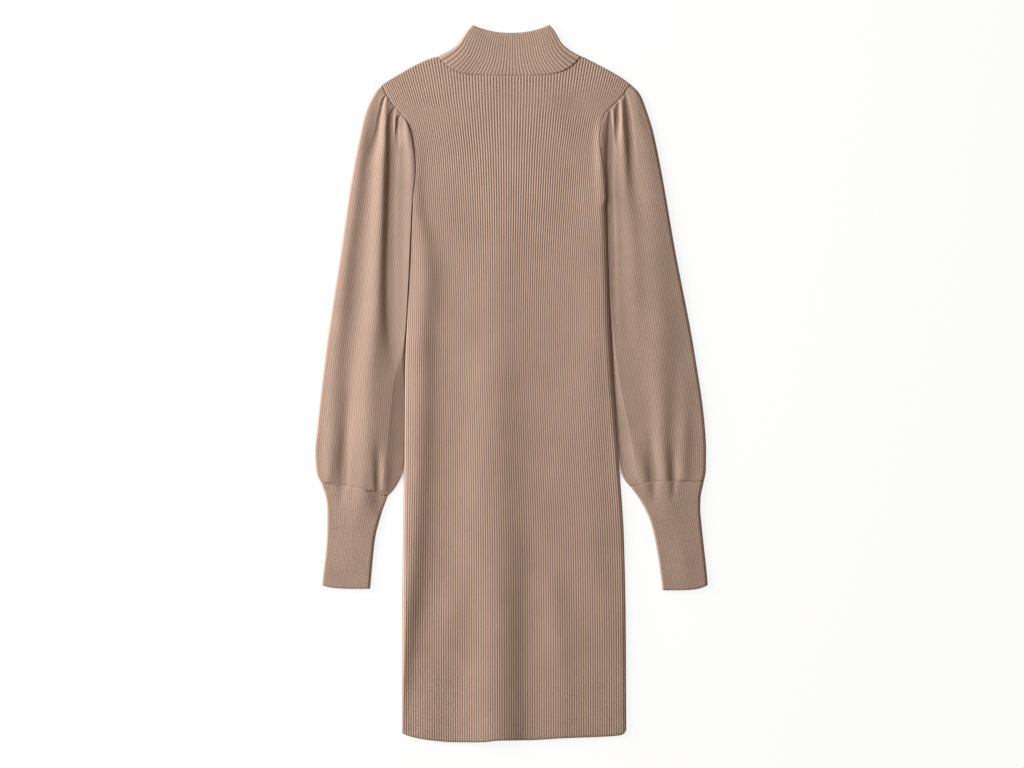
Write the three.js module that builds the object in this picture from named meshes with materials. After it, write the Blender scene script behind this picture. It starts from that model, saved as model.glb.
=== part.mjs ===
// A rib-knit sweater dress laid flat: front, back, mock-neck collar, two bishop sleeves, two cuffs.
// Millimetres. +Z is up from the surface, +Y runs from hem to collar, +X is to the viewer's right
// when the dress is seen from above. The origin is under the middle of the laid-out dress.
import * as THREE from 'three';

// Driving sizes
const WALL = 2.0; // thickness of the knitted cloth between its ribs
const RIB_RISE = 0.8; // how far a rib stands above the cloth
const SEAM_GAP = 0.3; // clear distance between two pieces at a seam
const LAYER_GAP = 0.6; // air between the two layers where the dress lies flattest
const FLATTEST = 2 * WALL + LAYER_GAP; // height of two layers lying on each other
const SIDE_SEAM_HEIGHT = 2.7; // height of the side seams and folded edges above the surface
const SEAM_DIP = 0.9; // how far the cloth sinks beside a linked seam
const SEAM_DIP_WIDTH = 3.5;
const SOFTNESS = 0.9; // how gently a trough levels out on the layer below it

const FRONT_RIBS = 96;
const COLLAR_RIBS = 38;
const SLEEVE_RIBS = 42;
const CUFF_RIBS = 26;

const HEM_Y = -460;
const SHOULDER_TIP_Y = 396;
const UNDERARM_Y = 246;
const NECK_SIDE_Y = 433;
const NECK_CENTRE_X = -2.5;
const NECK_HALF = 94.5;
const FRONT_NECK = { drop: 25, power: 5 };
const BACK_NECK = { drop: 9, power: 2 };
const COLLAR_TIP_Y = 475;
const COLLAR_TIP_CENTRE_X = -0.9;
const COLLAR_TOP_SAG = 10.6; // the top edge of the collar dips in the middle
const COLLAR_TOP_POWER = 2.2;
const NECK_GAP = 0.4; // seam gap at the neck, a little wider because its curve is sharp
const CUFF_BOTTOM_Y = -267;
const ARMHOLE_GAP = 0.7;
const CUFF_GAP = 0.6; // seam gap at the cuffs, a little wider because the two edges' columns differ
const FREE_EDGE_GAP = 0.6; // between the side of the body and the sleeve that lies beside it

const KNIT = { color: 0xb89b88, roughness: 0.93, metalness: 0.0 };

// Side edges of front and back: the free side up to the underarm, then the armhole to the shoulder
const BODY_SIDES = [
  { y: -480, left: -145, right: 152 },
  { y: -330, left: -145, right: 151.4 },
  { y: -207, left: -143.8, right: 149 },
  { y: -95, left: -142, right: 141.4 },
  { y: 25, left: -141, right: 133.2 },
  { y: 144, left: -136, right: 128.2 },
  { y: 246, left: -131.2, right: 125.2 },
  { y: 284, left: -127.6, right: 122.6 },
  { y: 322, left: -131, right: 117.2 },
  { y: 340, left: -135.8, right: 118.4 },
  { y: 355, left: -144, right: 122.4 },
  { y: 369, left: -156.8, right: 135 },
  { y: 381, left: -164.8, right: 147 },
  { y: 392, left: -169.4, right: 154.6 },
  { y: 396, left: -171, right: 157.4 },
  { y: 440, left: -171, right: 157.4 },
];

const SHOULDER_LINE = [
  { x: -171.4, y: 396 },
  { x: -163.6, y: 401.4 },
  { x: -153, y: 407.6 },
  { x: -142.4, y: 413.7 },
  { x: -131.8, y: 419.8 },
  { x: -121.2, y: 425 },
  { x: -110.6, y: 429.6 },
  { x: -97, y: 433 },
  { x: 92, y: 433 },
  { x: 104, y: 427.8 },
  { x: 119.9, y: 419.6 },
  { x: 135.8, y: 411 },
  { x: 146.4, y: 404.5 },
  { x: 157.8, y: 396 },
];

// The hem is rounded up at both corners and waves a little between them
const HEM_LINE = [
  { x: -146, y: -460 },
  { x: -127.9, y: -468.4 },
  { x: -108, y: -472.4 },
  { x: -74.9, y: -475 },
  { x: -41.7, y: -475 },
  { x: -15.2, y: -472.6 },
  { x: 24.5, y: -472.4 },
  { x: 64.3, y: -469.9 },
  { x: 104, y: -468.4 },
  { x: 143.8, y: -464.4 },
  { x: 153, y: -458.5 },
];

// The collar's half width falls quickly above the neck seam, then slowly
const COLLAR_FLARE = [
  { rise: 0, half: 94.5 },
  { rise: 2, half: 90.5 },
  { rise: 10, half: 77 },
  { rise: 18, half: 68 },
  { rise: 26, half: 63 },
  { rise: 34, half: 58 },
  { rise: 42, half: 51.2 },
];

const LEFT_SLEEVE_OUTER = [
  { y: -131, x: -252.6 },
  { y: -121, x: -257.7 },
  { y: -108, x: -259.7 },
  { y: -88, x: -260.4 },
  { y: -62, x: -257.9 },
  { y: 44, x: -245.8 },
  { y: 177, x: -225.9 },
  { y: 283, x: -210 },
  { y: 336, x: -199.3 },
  { y: 351, x: -195.8 },
  { y: 361, x: -192.6 },
  { y: 372, x: -188.3 },
  { y: 381.5, x: -182.9 },
  { y: 387.8, x: -179.2 },
  { y: 393.2, x: -174.2 },
];
const RIGHT_SLEEVE_OUTER = [
  { y: -131, x: 254.4 },
  { y: -115, x: 257.4 },
  { y: -88, x: 257.7 },
  { y: -62, x: 256.4 },
  { y: 44, x: 241.8 },
  { y: 177, x: 216.6 },
  { y: 283, x: 198.1 },
  { y: 336, x: 187 },
  { y: 353, x: 181.8 },
  { y: 364, x: 178 },
  { y: 377.6, x: 172.9 },
  { y: 386.6, x: 167.6 },
  { y: 391.9, x: 162.3 },
];

// Below the underarm each sleeve lies along the body, then curves away from it to its cuff.
// away is the distance from the body's side
const LEFT_SLEEVE_INNER = [
  { y: -150, away: 22 },
  { y: -141, away: 13.4 },
  { y: -128, away: 5.8 },
  { y: -115, away: 2.2 },
  { y: -95, away: 0 },
  { y: 246, away: 0 },
];
const RIGHT_SLEEVE_INNER = [
  { y: -137, away: 13 },
  { y: -128, away: 6.6 },
  { y: -115, away: 3.6 },
  { y: -88, away: 2.6 },
  { y: 25, away: 2.2 },
  { y: 200, away: 2 },
  { y: 246, away: 0 },
];

const LEFT_CUFF_SEAM = [
  { x: -252.6, y: -131 },
  { x: -229.5, y: -134.2 },
  { x: -200.7, y: -138.5 },
  { x: -187.5, y: -143.8 },
  { x: -174.6, y: -146.9 },
  { x: -165.8, y: -149 },
];
const RIGHT_CUFF_SEAM = [
  { x: 157.8, y: -136.6 },
  { x: 184.8, y: -130.6 },
  { x: 217.3, y: -129.4 },
  { x: 254.4, y: -129.6 },
];

const LEFT_CUFF_SIDES = [
  { y: -272, outer: -251.6, inner: -187.2 },
  { y: -260, outer: -250.6, inner: -186.2 },
  { y: -207, outer: -245, inner: -180.9 },
  { y: -181, outer: -244.3, inner: -175.6 },
  { y: -168, outer: -244.3, inner: -172.9 },
  { y: -154, outer: -245.4, inner: -168.6 },
  { y: -131, outer: -252.6, inner: -160.5 },
];
const RIGHT_CUFF_SIDES = [
  { y: -273, outer: 260.4, inner: 200.7 },
  { y: -260, outer: 259.8, inner: 199.2 },
  { y: -207, outer: 253.8, inner: 190.1 },
  { y: -181, outer: 251.1, inner: 183.5 },
  { y: -168, outer: 249.9, inner: 178.2 },
  { y: -154, outer: 250, inner: 171 },
  { y: -129, outer: 254.4, inner: 153 },
];

// Folds run down the cloth. A row gives a fold's place, its rise (a trough's is negative) and its
// half width at one height on the dress. A lean above 0 makes its right flank the steeper one
const fold = (lean, ...rows) => ({ lean, rows: rows.map(([y, x, rise, half]) => ({ y, x, rise, half })) });
// Creases narrower than this only press into the cloth, and don't fold it
const NARROW = 7;
const creaseDepth = (half) => Math.min(1, (half / NARROW) ** 2);

const BODY_PUFF = 0.7;
const BODY_FOLDS = [
  fold(0.12, [350, -128, 0, 8], [296, -127, 1.5, 10], [243, -127, 2.2, 11], [190, -127, 3, 13],
    [137, -121, 4.4, 15], [84, -122, 5.2, 16], [31, -124, 5.4, 17], [-22, -126, 5.1, 17],
    [-75, -126, 4.5, 16], [-181, -130, 4.3, 15], [-234, -134, 4.2, 14], [-287, -141, 4, 13],
    [-340, -147, 3.4, 13], [-420, -152, 2, 12], [-485, -155, 0, 12]),
  fold(0.15, [300, -8, 0, 30], [243, -12, 0.8, 30], [190, -15, 1.1, 30], [137, -17, 1.7, 29],
    [84, -18, 2.5, 28], [31, -19, 3.3, 27], [-22, -20, 4, 27], [-75, -20, 4.2, 27],
    [-181, -18, 4.3, 28], [-340, -20, 4.4, 28], [-485, -24, 5.2, 28]),
  fold(0, [-140, 24, 0, 12], [-234, 26, -1, 14], [-287, 26, -1.6, 14], [-393, 30, -1.5, 15],
    [-485, 34, -1.4, 16]),
  fold(0, [330, 112, 0, 26], [243, 112, 1.6, 28], [190, 112, 2, 28], [137, 114, 2.6, 28],
    [31, 115, 2.7, 28], [-22, 112, 1.9, 26], [-128, 106, 1.3, 24], [-234, 112, 1.4, 22],
    [-340, 128, 0.9, 22], [-450, 130, 0, 20]),
  fold(0, [-230, 56, 0, 12], [-287, 58, 1, 14], [-393, 66, 1.1, 16], [-485, 66, 0.8, 16]),
  fold(0, [330, 0, 0, 70], [243, 20, 0.8, 75], [110, 50, 0.6, 70], [-60, 60, 0.6, 60],
    [-485, 60, 0.5, 60]),
];

const SLEEVE_PUFF = 0.9;
const LEFT_SLEEVE_FOLDS = [
  fold(0, [396, -176, 0.6, 6], [360, -187, 2.6, 8], [323, -197, 3.4, 10], [296, -201, 3.9, 10],
    [243, -207, 3.4, 11], [210, -212, 3.2, 11], [144, -221, 3.9, 12], [78, -228, 3.7, 13],
    [11, -234, 3.2, 14], [-75, -238, 3.3, 13], [-115, -240, 2.4, 10], [-136, -243, 1.2, 8]),
  fold(0.12, [380, -167, 1.5, 5], [350, -168, 3.8, 6], [323, -171, 4.8, 8], [296, -174, 5.1, 10],
    [243, -177, 4.7, 11], [177, -182, 4.8, 12], [111, -186, 4.8, 13], [44, -190, 4.4, 15],
    [11, -191, 4.2, 16], [-22, -192, 4, 17], [-75, -193, 3.8, 16], [-115, -196, 3.4, 14],
    [-142, -199, 2.6, 12]),
  fold(0, [110, -172, 0, 16], [80, -174, 1, 19], [44, -176, 2.2, 21], [11, -176, 3, 23],
    [-22, -176, 3.4, 24], [-75, -178, 3.2, 22], [-115, -180, 2.2, 19], [-142, -182, 1, 15]),
  fold(0, [381, -166.6, -1.5, 1.5], [376, -169.3, -4, 1.7], [361.5, -172.6, -5, 1.9],
    [350.7, -174.8, -4.6, 2.1], [340, -176.2, -3.6, 2.6], [325, -179, -2.2, 4], [305, -184, -1, 6],
    [288, -188, 0, 8]),
  fold(0, [366, -155.5, -2, 1.5], [360, -158, -5, 1.9], [353, -161.2, -6, 2.5],
    [336, -163.5, -6.6, 4], [309, -163, -5.8, 5.2], [256, -160.5, -4.8, 6], [200, -160, -3.8, 7],
    [144, -159, -2.8, 8], [80, -154, -1.4, 9], [40, -150, 0, 10]),
  fold(0, [359, -153.5, 0, 2], [342, -155.4, 2.8, 2.6], [325, -156.4, 2.4, 3], [304, -156.5, 0, 4]),
  fold(0, [356, -147.5, -2, 1.4], [350, -150, -4.6, 1.6], [336, -151.6, -4.8, 1.9],
    [322, -151.8, -3.2, 2.6], [306, -151, 0, 3.4]),
  fold(0, [352, -142.5, 1.2, 4], [330, -144, 2.6, 5.4], [300, -139, 2.4, 8], [243, -138, 1.6, 9],
    [144, -139, 2.4, 9], [111, -138, 2.5, 9], [60, -139, 1.4, 9], [0, -142, 0, 8]),
  fold(0, [30, -214, 0, 7], [-48, -218, -1.2, 7], [-95, -221, -2.8, 6], [-138, -222, -3.6, 5]),
  fold(0, [-70, -176, 0, 6], [-105, -177, -2.6, 5], [-148, -176, -4.4, 4]),
  fold(0, [-92, -165, 0, 6], [-118, -165, 1.2, 6], [-142, -166, 1, 5]),
];
const RIGHT_SLEEVE_FOLDS = [
  fold(0, [388, 163, 0.8, 6], [349, 168, 1.8, 9], [323, 174, 2.5, 12], [296, 178, 2.5, 13],
    [243, 182, 2.7, 17], [177, 184, 3.3, 21], [111, 190, 3.8, 24], [44, 194, 3.6, 22],
    [11, 196, 3.2, 19], [-22, 199, 3, 15], [-75, 200, 2.9, 11], [-115, 203, 2.9, 9],
    [-138, 205, 1.8, 8]),
  fold(0, [384, 150.6, -2, 1.5], [375, 151.2, -4.6, 1.8], [350, 153.2, -4.6, 2.1],
    [322, 155.4, -3.8, 3], [290, 157.6, -2.2, 5], [255, 159.5, -1, 8], [225, 161, 0, 9]),
  fold(0, [376, 146, 1.6, 2.8], [345, 146.6, 3, 3.6], [320, 147, 2.6, 5], [296, 147.5, 1.9, 7],
    [250, 148, 1, 9], [200, 150, 0, 10]),
  fold(0, [371, 141, -2, 1.4], [362, 140, -4.6, 1.7], [350, 139.4, -5, 1.9], [335, 138.6, -4, 2.3],
    [318, 138.4, 0, 3.4]),
  fold(0, [364, 134, 1.2, 2.6], [345, 133, 2.8, 3], [330, 133, 2, 4], [312, 135, 0, 5]),
  fold(0, [360, 129, -3, 1.6], [336, 127.6, -5.4, 2.1], [300, 127.2, -6, 2.8],
    [262, 128.6, -6, 3.2], [236, 130.6, -5, 3.4], [180, 133, -3.2, 4], [90, 136, 0, 5]),
  fold(0, [30, 228, 0, 10], [-22, 229, 1.2, 11], [-75, 228, 2, 10], [-115, 227, 2, 9],
    [-138, 228, 1, 8]),
  fold(0, [-60, 158, 0, 8], [-95, 168, 1, 8], [-115, 173, 1.7, 8], [-140, 178, 0.9, 7]),
  fold(0, [-55, 183, 0, 6], [-100, 186, -2, 6], [-138, 189, -3, 5]),
  fold(0, [-75, 213, 0, 5], [-112, 214.5, -2, 5], [-134, 215, -3, 4]),
];
const CUFF_PUFF = 1.3;
const LEFT_CUFF_FOLDS = [
  fold(0, [-250, -216, 0.2, 24], [-194, -206, 0.8, 20], [-168, -200, 1.7, 18], [-150, -196, 3, 15],
    [-130, -196, 3.8, 14]),
  fold(0, [-165, -226, 0, 5], [-130, -224, -2, 6]),
  fold(0, [-172, -177, 0, 5], [-140, -177, -2.4, 5]),
];
const RIGHT_CUFF_FOLDS = [
  fold(0, [-285, 232, 0.4, 16], [-234, 228, 1.1, 16], [-194, 218, 0.7, 20], [-154, 206, 1.5, 18],
    [-126, 205, 2.2, 12]),
  fold(0, [-165, 180, 0, 9], [-150, 178, 0.6, 9], [-126, 177, 1.4, 8]),
  fold(0, [-160, 214, 0, 5], [-126, 215, -2, 4]),
  fold(0, [-160, 189, 0, 5], [-126, 189, -2, 5]),
];
const COLLAR_FOLDS = [
  fold(0, [408, -2, 0.4, 60], [440, -2, 1.2, 40], [476, -1, 0.8, 30]),
];

// How many steps each surface has. A rib takes two columns, one in its groove and one on its crest
const COLUMNS_PER_RIB = 2;
// Front, back and sleeves share the corners of the armhole, so that their edges run parallel
const ARMHOLE_CORNERS = [246, 284, 303, 322, 340, 355, 369, 381, 391, 396];
const PANEL_ROWS = [
  0, 0.2, 0.4, 0.6, 0.76,
  ...ARMHOLE_CORNERS.map((y) => (y - HEM_Y) / (SHOULDER_TIP_Y - HEM_Y)),
];
const SLEEVE_ROWS = [0, 0.025, 0.07, 0.16, 0.34, 0.55, 0.74, 0.86, 0.93, 0.968, 0.988, 1];
const CUFF_ROWS = [0, 0.22, 0.5, 0.76, 0.9, 1];
const COLLAR_ROWS = [0, 0.07, 0.2, 0.45, 0.75, 1];
const COLLAR_COLUMNS = [0, 0.012, 0.04, 0.09, 0.18, 0.27, 0.36, 0.5, 0.64, 0.73, 0.82, 0.91, 0.96,
  0.988, 1];
// Plain surfaces of front and back have a column at each of these shares of half the neck's width,
// closest where the neck curves most, and at these shares of the whole width near each side
const NECK_STEPS = [1, 0.95, 0.9, 0.84, 0.76, 0.66, 0.54, 0.36, 0];
const SIDE_STEPS = [0, 0.004, 0.016, 0.05, 0.11, 0.18];

// Small tools
const clamp01 = (t) => Math.min(1, Math.max(0, t));
const mix = (a, b, t) => a + (b - a) * t;
const smoothstep = (a, b, t) => {
  const s = clamp01((t - a) / (b - a));
  return s * s * (3 - 2 * s);
};
const evenly = (count) => Array.from({ length: count + 1 }, (_, i) => i / count);

// Most of a sleeve's ribs end at its pleated cap, few at the straight part of the armhole. This
// gives how far down the armhole the rib at a share of the sleeve's width ends
const armholeShare = (u) => 0.55 * u + 0.45 * u ** 5;

// The rib of the sleeve that ends at a height on the armhole
function ribEndingAt(y) {
  const share = (SHOULDER_TIP_Y - y) / (SHOULDER_TIP_Y - UNDERARM_Y);
  let low = 0;
  let high = 1;
  for (let i = 0; i < 40; i += 1) {
    const u = (low + high) / 2;
    if (armholeShare(u) < share) low = u;
    else high = u;
  }
  return share > 0.999 ? 1 : low;
}
const SLEEVE_COLUMNS = [...ARMHOLE_CORNERS.map(ribEndingAt).reverse(), 0.012, 0.988]
  .sort((a, b) => a - b);
// The plain inside of a sleeve's upper layer follows the folds in smaller steps
const SLEEVE_INSIDE = [...SLEEVE_COLUMNS, 0.085, 0.18, 0.235, 0.345, 0.4, 0.51, 0.565, 0.66, 0.71]
  .sort((a, b) => a - b);

// Reads one column of a table at a place along its key column, on a smooth monotone curve
function along(rows, key, column) {
  const k = rows.map((r) => r[key]);
  const f = rows.map((r) => r[column]);
  const order = k[0] < k[k.length - 1] ? 1 : -1;
  const ks = order > 0 ? k : [...k].reverse();
  const fs = order > 0 ? f : [...f].reverse();
  const secant = ks.slice(1).map((v, i) => (fs[i + 1] - fs[i]) / (v - ks[i]));
  const slope = ks.map((_, i) => {
    if (i === 0) return secant[0];
    if (i === ks.length - 1) return secant[i - 1];
    const product = secant[i - 1] * secant[i];
    return product <= 0 ? 0 : (2 * product) / (secant[i - 1] + secant[i]);
  });
  return (at) => {
    if (at <= ks[0]) return fs[0];
    if (at >= ks[ks.length - 1]) return fs[ks.length - 1];
    let i = 0;
    while (at > ks[i + 1]) i += 1;
    const h = ks[i + 1] - ks[i];
    const t = (at - ks[i]) / h;
    const t2 = t * t;
    const t3 = t2 * t;
    return (2 * t3 - 3 * t2 + 1) * fs[i] + (t3 - 2 * t2 + t) * h * slope[i]
      + (3 * t2 - 2 * t3) * fs[i + 1] + (t3 - t2) * h * slope[i + 1];
  };
}

// The height of a piece's smooth top above the surface: two layers, a puff and the folds
function heights(puff, foldTables) {
  const folds = foldTables.map(({ lean, rows }) => ({
    lean,
    low: Math.min(...rows.map((r) => r.y)),
    high: Math.max(...rows.map((r) => r.y)),
    x: along(rows, 'y', 'x'),
    rise: along(rows, 'y', 'rise'),
    half: along(rows, 'y', 'half'),
  }));
  return (x, y) => {
    let lift = puff;
    for (const f of folds) {
      if (y < f.low || y > f.high) continue;
      const off = x - f.x(y);
      const half = f.half(y);
      const d = off / (half * (1 - f.lean * Math.sign(off)));
      lift += f.rise(y) * creaseDepth(half) * Math.exp(-d * d);
    }
    return FLATTEST + SOFTNESS * Math.log(1 + Math.exp(lift / SOFTNESS));
  };
}

// A quarter round: 0 at the very edge, 1 once the distance from the edge is the radius
const quarterRound = (distance, radius) => {
  const t = 1 - clamp01(distance / radius);
  return Math.sqrt(Math.max(0, 1 - t * t));
};

// Joins two polylines that run the same way, whatever their numbers of points
function zip(faces, a, b, flip) {
  let i = 0;
  let j = 0;
  while (i < a.length - 1 || j < b.length - 1) {
    const stepA = j === b.length - 1
      || (i < a.length - 1 && a[i + 1].at <= b[j + 1].at + 1e-9);
    const face = stepA ? [a[i].index, a[i + 1].index, b[j].index]
      : [a[i].index, b[j + 1].index, b[j].index];
    faces.push(flip ? [face[0], face[2], face[1]] : face);
    if (stepA) i += 1;
    else j += 1;
  }
}

function grid(faces, rows, columns, index, flip) {
  for (let r = 0; r < rows; r += 1) {
    for (let c = 0; c < columns; c += 1) {
      const corners = [index(r, c), index(r, c + 1), index(r + 1, c + 1), index(r + 1, c)];
      const [p, q, s, t] = flip ? [corners[0], corners[3], corners[2], corners[1]] : corners;
      faces.push([p, q, s], [p, s, t]);
    }
  }
}

// Six times the volume inside the faces, negative where they point inwards
function signedVolume(points, faces) {
  return faces.reduce((sum, [a, b, c]) => {
    const [p, q, r] = [points[a], points[b], points[c]];
    return sum + p[0] * (q[1] * r[2] - q[2] * r[1]) + p[1] * (q[2] * r[0] - q[0] * r[2])
      + p[2] * (q[0] * r[1] - q[1] * r[0]);
  }, 0);
}

function solid(name, points, faces) {
  const outward = signedVolume(points, faces) > 0 ? faces : faces.map(([a, b, c]) => [a, c, b]);
  const geometry = new THREE.BufferGeometry();
  geometry.setAttribute('position', new THREE.Float32BufferAttribute(points.flat(), 3));
  geometry.setIndex(outward.flat());
  geometry.computeVertexNormals();
  const mesh = new THREE.Mesh(geometry, new THREE.MeshStandardMaterial(KNIT));
  mesh.name = name;
  return mesh;
}

// A panel: an outer and an inner surface over the same outline, joined by a rim all round.
// outer and inner give a point for their column and row, both from 0 to 1
function panel(name, outer, inner, facesUp) {
  const points = [];
  const faces = [];
  const surfaces = [outer, inner].map(({ columns, rows, point }) => {
    const start = points.length;
    rows.forEach((v) => columns.forEach((u) => points.push(point(u, v))));
    const width = columns.length;
    const index = (r, c) => start + r * width + c;
    const across = (r) => columns.map((u, c) => ({ at: u, index: index(r, c) }));
    const up = (c) => rows.map((v, r) => ({ at: v, index: index(r, c) }));
    return { rows: rows.length - 1, columns: columns.length - 1, index, across, up };
  });
  const [o, i] = surfaces;
  grid(faces, o.rows, o.columns, o.index, !facesUp);
  grid(faces, i.rows, i.columns, i.index, facesUp);
  zip(faces, o.across(0), i.across(0), facesUp);
  zip(faces, o.across(o.rows), i.across(i.rows), !facesUp);
  zip(faces, o.up(0), i.up(0), !facesUp);
  zip(faces, o.up(o.columns), i.up(i.columns), facesUp);
  return solid(name, points, faces);
}

// A flattened tube: an outer and an inner loop in each row, joined by a rim at both ends.
// top and bottom give points from one folded edge to the other, and share the points on the edges
function flatTube(name, rows, outer, inner) {
  const points = [];
  const faces = [];
  const loops = [outer, inner].map(({ topColumns, bottomColumns, top, bottom }) => {
    const start = points.length;
    const under = bottomColumns.slice(1, -1).reverse();
    const size = topColumns.length + under.length;
    rows.forEach((v) => {
      topColumns.forEach((u) => points.push(top(u, v)));
      under.forEach((u) => points.push(bottom(u, v)));
    });
    const index = (r, c) => start + r * size + (c % size);
    const places = [...topColumns, ...under.map((u) => 2 - u), 2];
    const loop = (r) => places.map((at, c) => ({ at, index: index(r, c) }));
    return { size, index, loop };
  });
  const last = rows.length - 1;
  const [o, i] = loops;
  grid(faces, last, o.size, o.index, false);
  grid(faces, last, i.size, i.index, true);
  zip(faces, o.loop(0), i.loop(0), true);
  zip(faces, o.loop(last), i.loop(last), false);
  return solid(name, points, faces);
}

// Columns of a ribbed surface: groove, crest, groove and so on
const ribColumns = (ribs) => evenly(ribs * COLUMNS_PER_RIB);
const ribLift = (u, ribs) => RIB_RISE * 0.5 * (1 - Math.cos(2 * Math.PI * ribs * u));

// Body outline: a smooth side up to the underarm, then straight stretches between the corners
function bodySide(column) {
  const smooth = along(BODY_SIDES, 'y', column);
  const corners = ARMHOLE_CORNERS.map((y) => ({ y, x: smooth(y) }));
  return (y) => {
    if (y < UNDERARM_Y || y >= SHOULDER_TIP_Y) return smooth(y);
    const i = corners.findIndex((c) => c.y > y);
    const [a, b] = [corners[i - 1], corners[i]];
    return mix(a.x, b.x, (y - a.y) / (b.y - a.y));
  };
}
const bodyLeft = bodySide('left');
const bodyRight = bodySide('right');
const shoulderLine = along(SHOULDER_LINE, 'x', 'y');
const hemLine = along(HEM_LINE, 'x', 'y');
const bodyHeight = heights(BODY_PUFF, BODY_FOLDS);

const neckCurve = (x, neck) => {
  const t = Math.abs(x - NECK_CENTRE_X) / NECK_HALF;
  return NECK_SIDE_Y - neck.drop * (1 - Math.min(1, t) ** neck.power);
};
const isNeck = (x) => Math.abs(x - NECK_CENTRE_X) < NECK_HALF;
const bodyTop = (x, neck) => (isNeck(x) ? neckCurve(x, neck) : shoulderLine(x));

// The ribs fan out over the chest: wider apart in the middle, closer at the armholes
const FAN = { strength: 0.25, from: 60, to: 300 };
const fan = (u, y) => {
  const strength = FAN.strength * smoothstep(FAN.from, FAN.to, y);
  return u - (strength * Math.sin(2 * Math.PI * u)) / (2 * Math.PI);
};

// A point of the body's plan. inset draws the free side edges, shoulders and hem in by that much
function bodyPlan(u, v, neck, inset) {
  const sideInset = (y) => inset * sideRoll(y);
  const xAt = (y) => mix(bodyLeft(y) + sideInset(y), bodyRight(y) - sideInset(y), fan(u, y));
  const xHem = xAt(HEM_Y);
  const xTop = xAt(SHOULDER_TIP_Y);
  const low = hemLine(xHem);
  const edge = bodyTop(xTop, neck);
  const high = edge - (isNeck(xTop) ? 0 : inset);
  const y = mix(low, edge, v) - (edge - high) * v ** 60;
  return { x: xAt(y), y, high };
}

// 1 where the side of the body is free and rolls over into the back, 0 where the sleeve is linked
const sideRoll = (y) => 1 - smoothstep(UNDERARM_Y - 14, UNDERARM_Y + 4, y);

// Height of the front's outer surface, or of its inner surface when depth is the wall's thickness
function frontPoint(u, v, depth) {
  const { x, y, high } = bodyPlan(u, v, FRONT_NECK, depth);
  const top = bodyHeight(x, y) - depth;
  const rimLow = SIDE_SEAM_HEIGHT + SEAM_GAP / 2;
  const sideDistance = Math.min(x - bodyLeft(y), bodyRight(y) - x) - depth * sideRoll(y);
  const topDistance = high - y;
  const rolled = Math.max(0.4, top - rimLow);
  const sideDrop = edgeDrop(sideDistance, mix(SEAM_DIP, rolled, sideRoll(y)));
  const topDrop = edgeDrop(topDistance, isNeck(x) ? SEAM_DIP : rolled);
  return [x, y, top - Math.max(sideDrop, topDrop)];
}

const edgeDrop = (distance, drop) => {
  const radius = Math.max(drop, SEAM_DIP_WIDTH * smoothstep(2.2, 0.8, drop));
  return drop * (1 - quarterRound(distance, radius));
};

// The column that ends at a given place along the top edge
function columnAt(x) {
  let low = 0;
  let high = 1;
  for (let i = 0; i < 40; i += 1) {
    const u = (low + high) / 2;
    const at = mix(bodyLeft(SHOULDER_TIP_Y), bodyRight(SHOULDER_TIP_Y), fan(u, SHOULDER_TIP_Y));
    if (at < x) low = u;
    else high = u;
  }
  return (low + high) / 2;
}

const panelColumns = [
  ...SIDE_STEPS,
  ...NECK_STEPS.map((t) => columnAt(NECK_CENTRE_X - NECK_HALF * t)),
  ...NECK_STEPS.slice(0, -1).reverse().map((t) => columnAt(NECK_CENTRE_X + NECK_HALF * t)),
  ...SIDE_STEPS.map((t) => 1 - t).reverse(),
];

function bodyFront() {
  const outer = {
    columns: ribColumns(FRONT_RIBS),
    rows: PANEL_ROWS,
    point: (u, v) => {
      const [x, y, z] = frontPoint(u, v, 0);
      const edge = u === 0 || u === 1 || v === 1;
      return [x, y, z + (edge ? 0 : ribLift(u, FRONT_RIBS))];
    },
  };
  const inner = {
    columns: panelColumns,
    rows: PANEL_ROWS,
    point: (u, v) => frontPoint(u, v, WALL),
  };
  return panel('body_front', outer, inner, true);
}

// The back lies flat on the surface and rolls up to the side seams and shoulders
function backPoint(u, v, depth) {
  const { x, y, high } = bodyPlan(u, v, BACK_NECK, depth);
  const rimHigh = SIDE_SEAM_HEIGHT - SEAM_GAP / 2;
  const sideDistance = Math.min(x - bodyLeft(y), bodyRight(y) - x) - depth * sideRoll(y);
  const rolled = rimHigh - depth;
  const sideRise = edgeDrop(sideDistance, rolled * sideRoll(y));
  const topRise = edgeDrop(high - y, isNeck(x) ? 0 : rolled);
  return [x, y, depth + Math.max(sideRise, topRise)];
}

function bodyBack() {
  const surface = (depth) => ({
    columns: panelColumns,
    rows: PANEL_ROWS,
    point: (u, v) => backPoint(u, v, depth),
  });
  return panel('body_back', surface(0), surface(WALL), false);
}

// Height of a flattened tube at a distance from its nearer folded edge
function tubeTop(height, distance, depth) {
  const low = SIDE_SEAM_HEIGHT;
  const reach = height - depth - low;
  return low + reach * quarterRound(distance, Math.max(0.2, Math.min(reach, 7)));
}
function tubeBottom(distance, depth) {
  const reach = SIDE_SEAM_HEIGHT - depth;
  return SIDE_SEAM_HEIGHT - reach * quarterRound(distance, reach);
}

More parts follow.
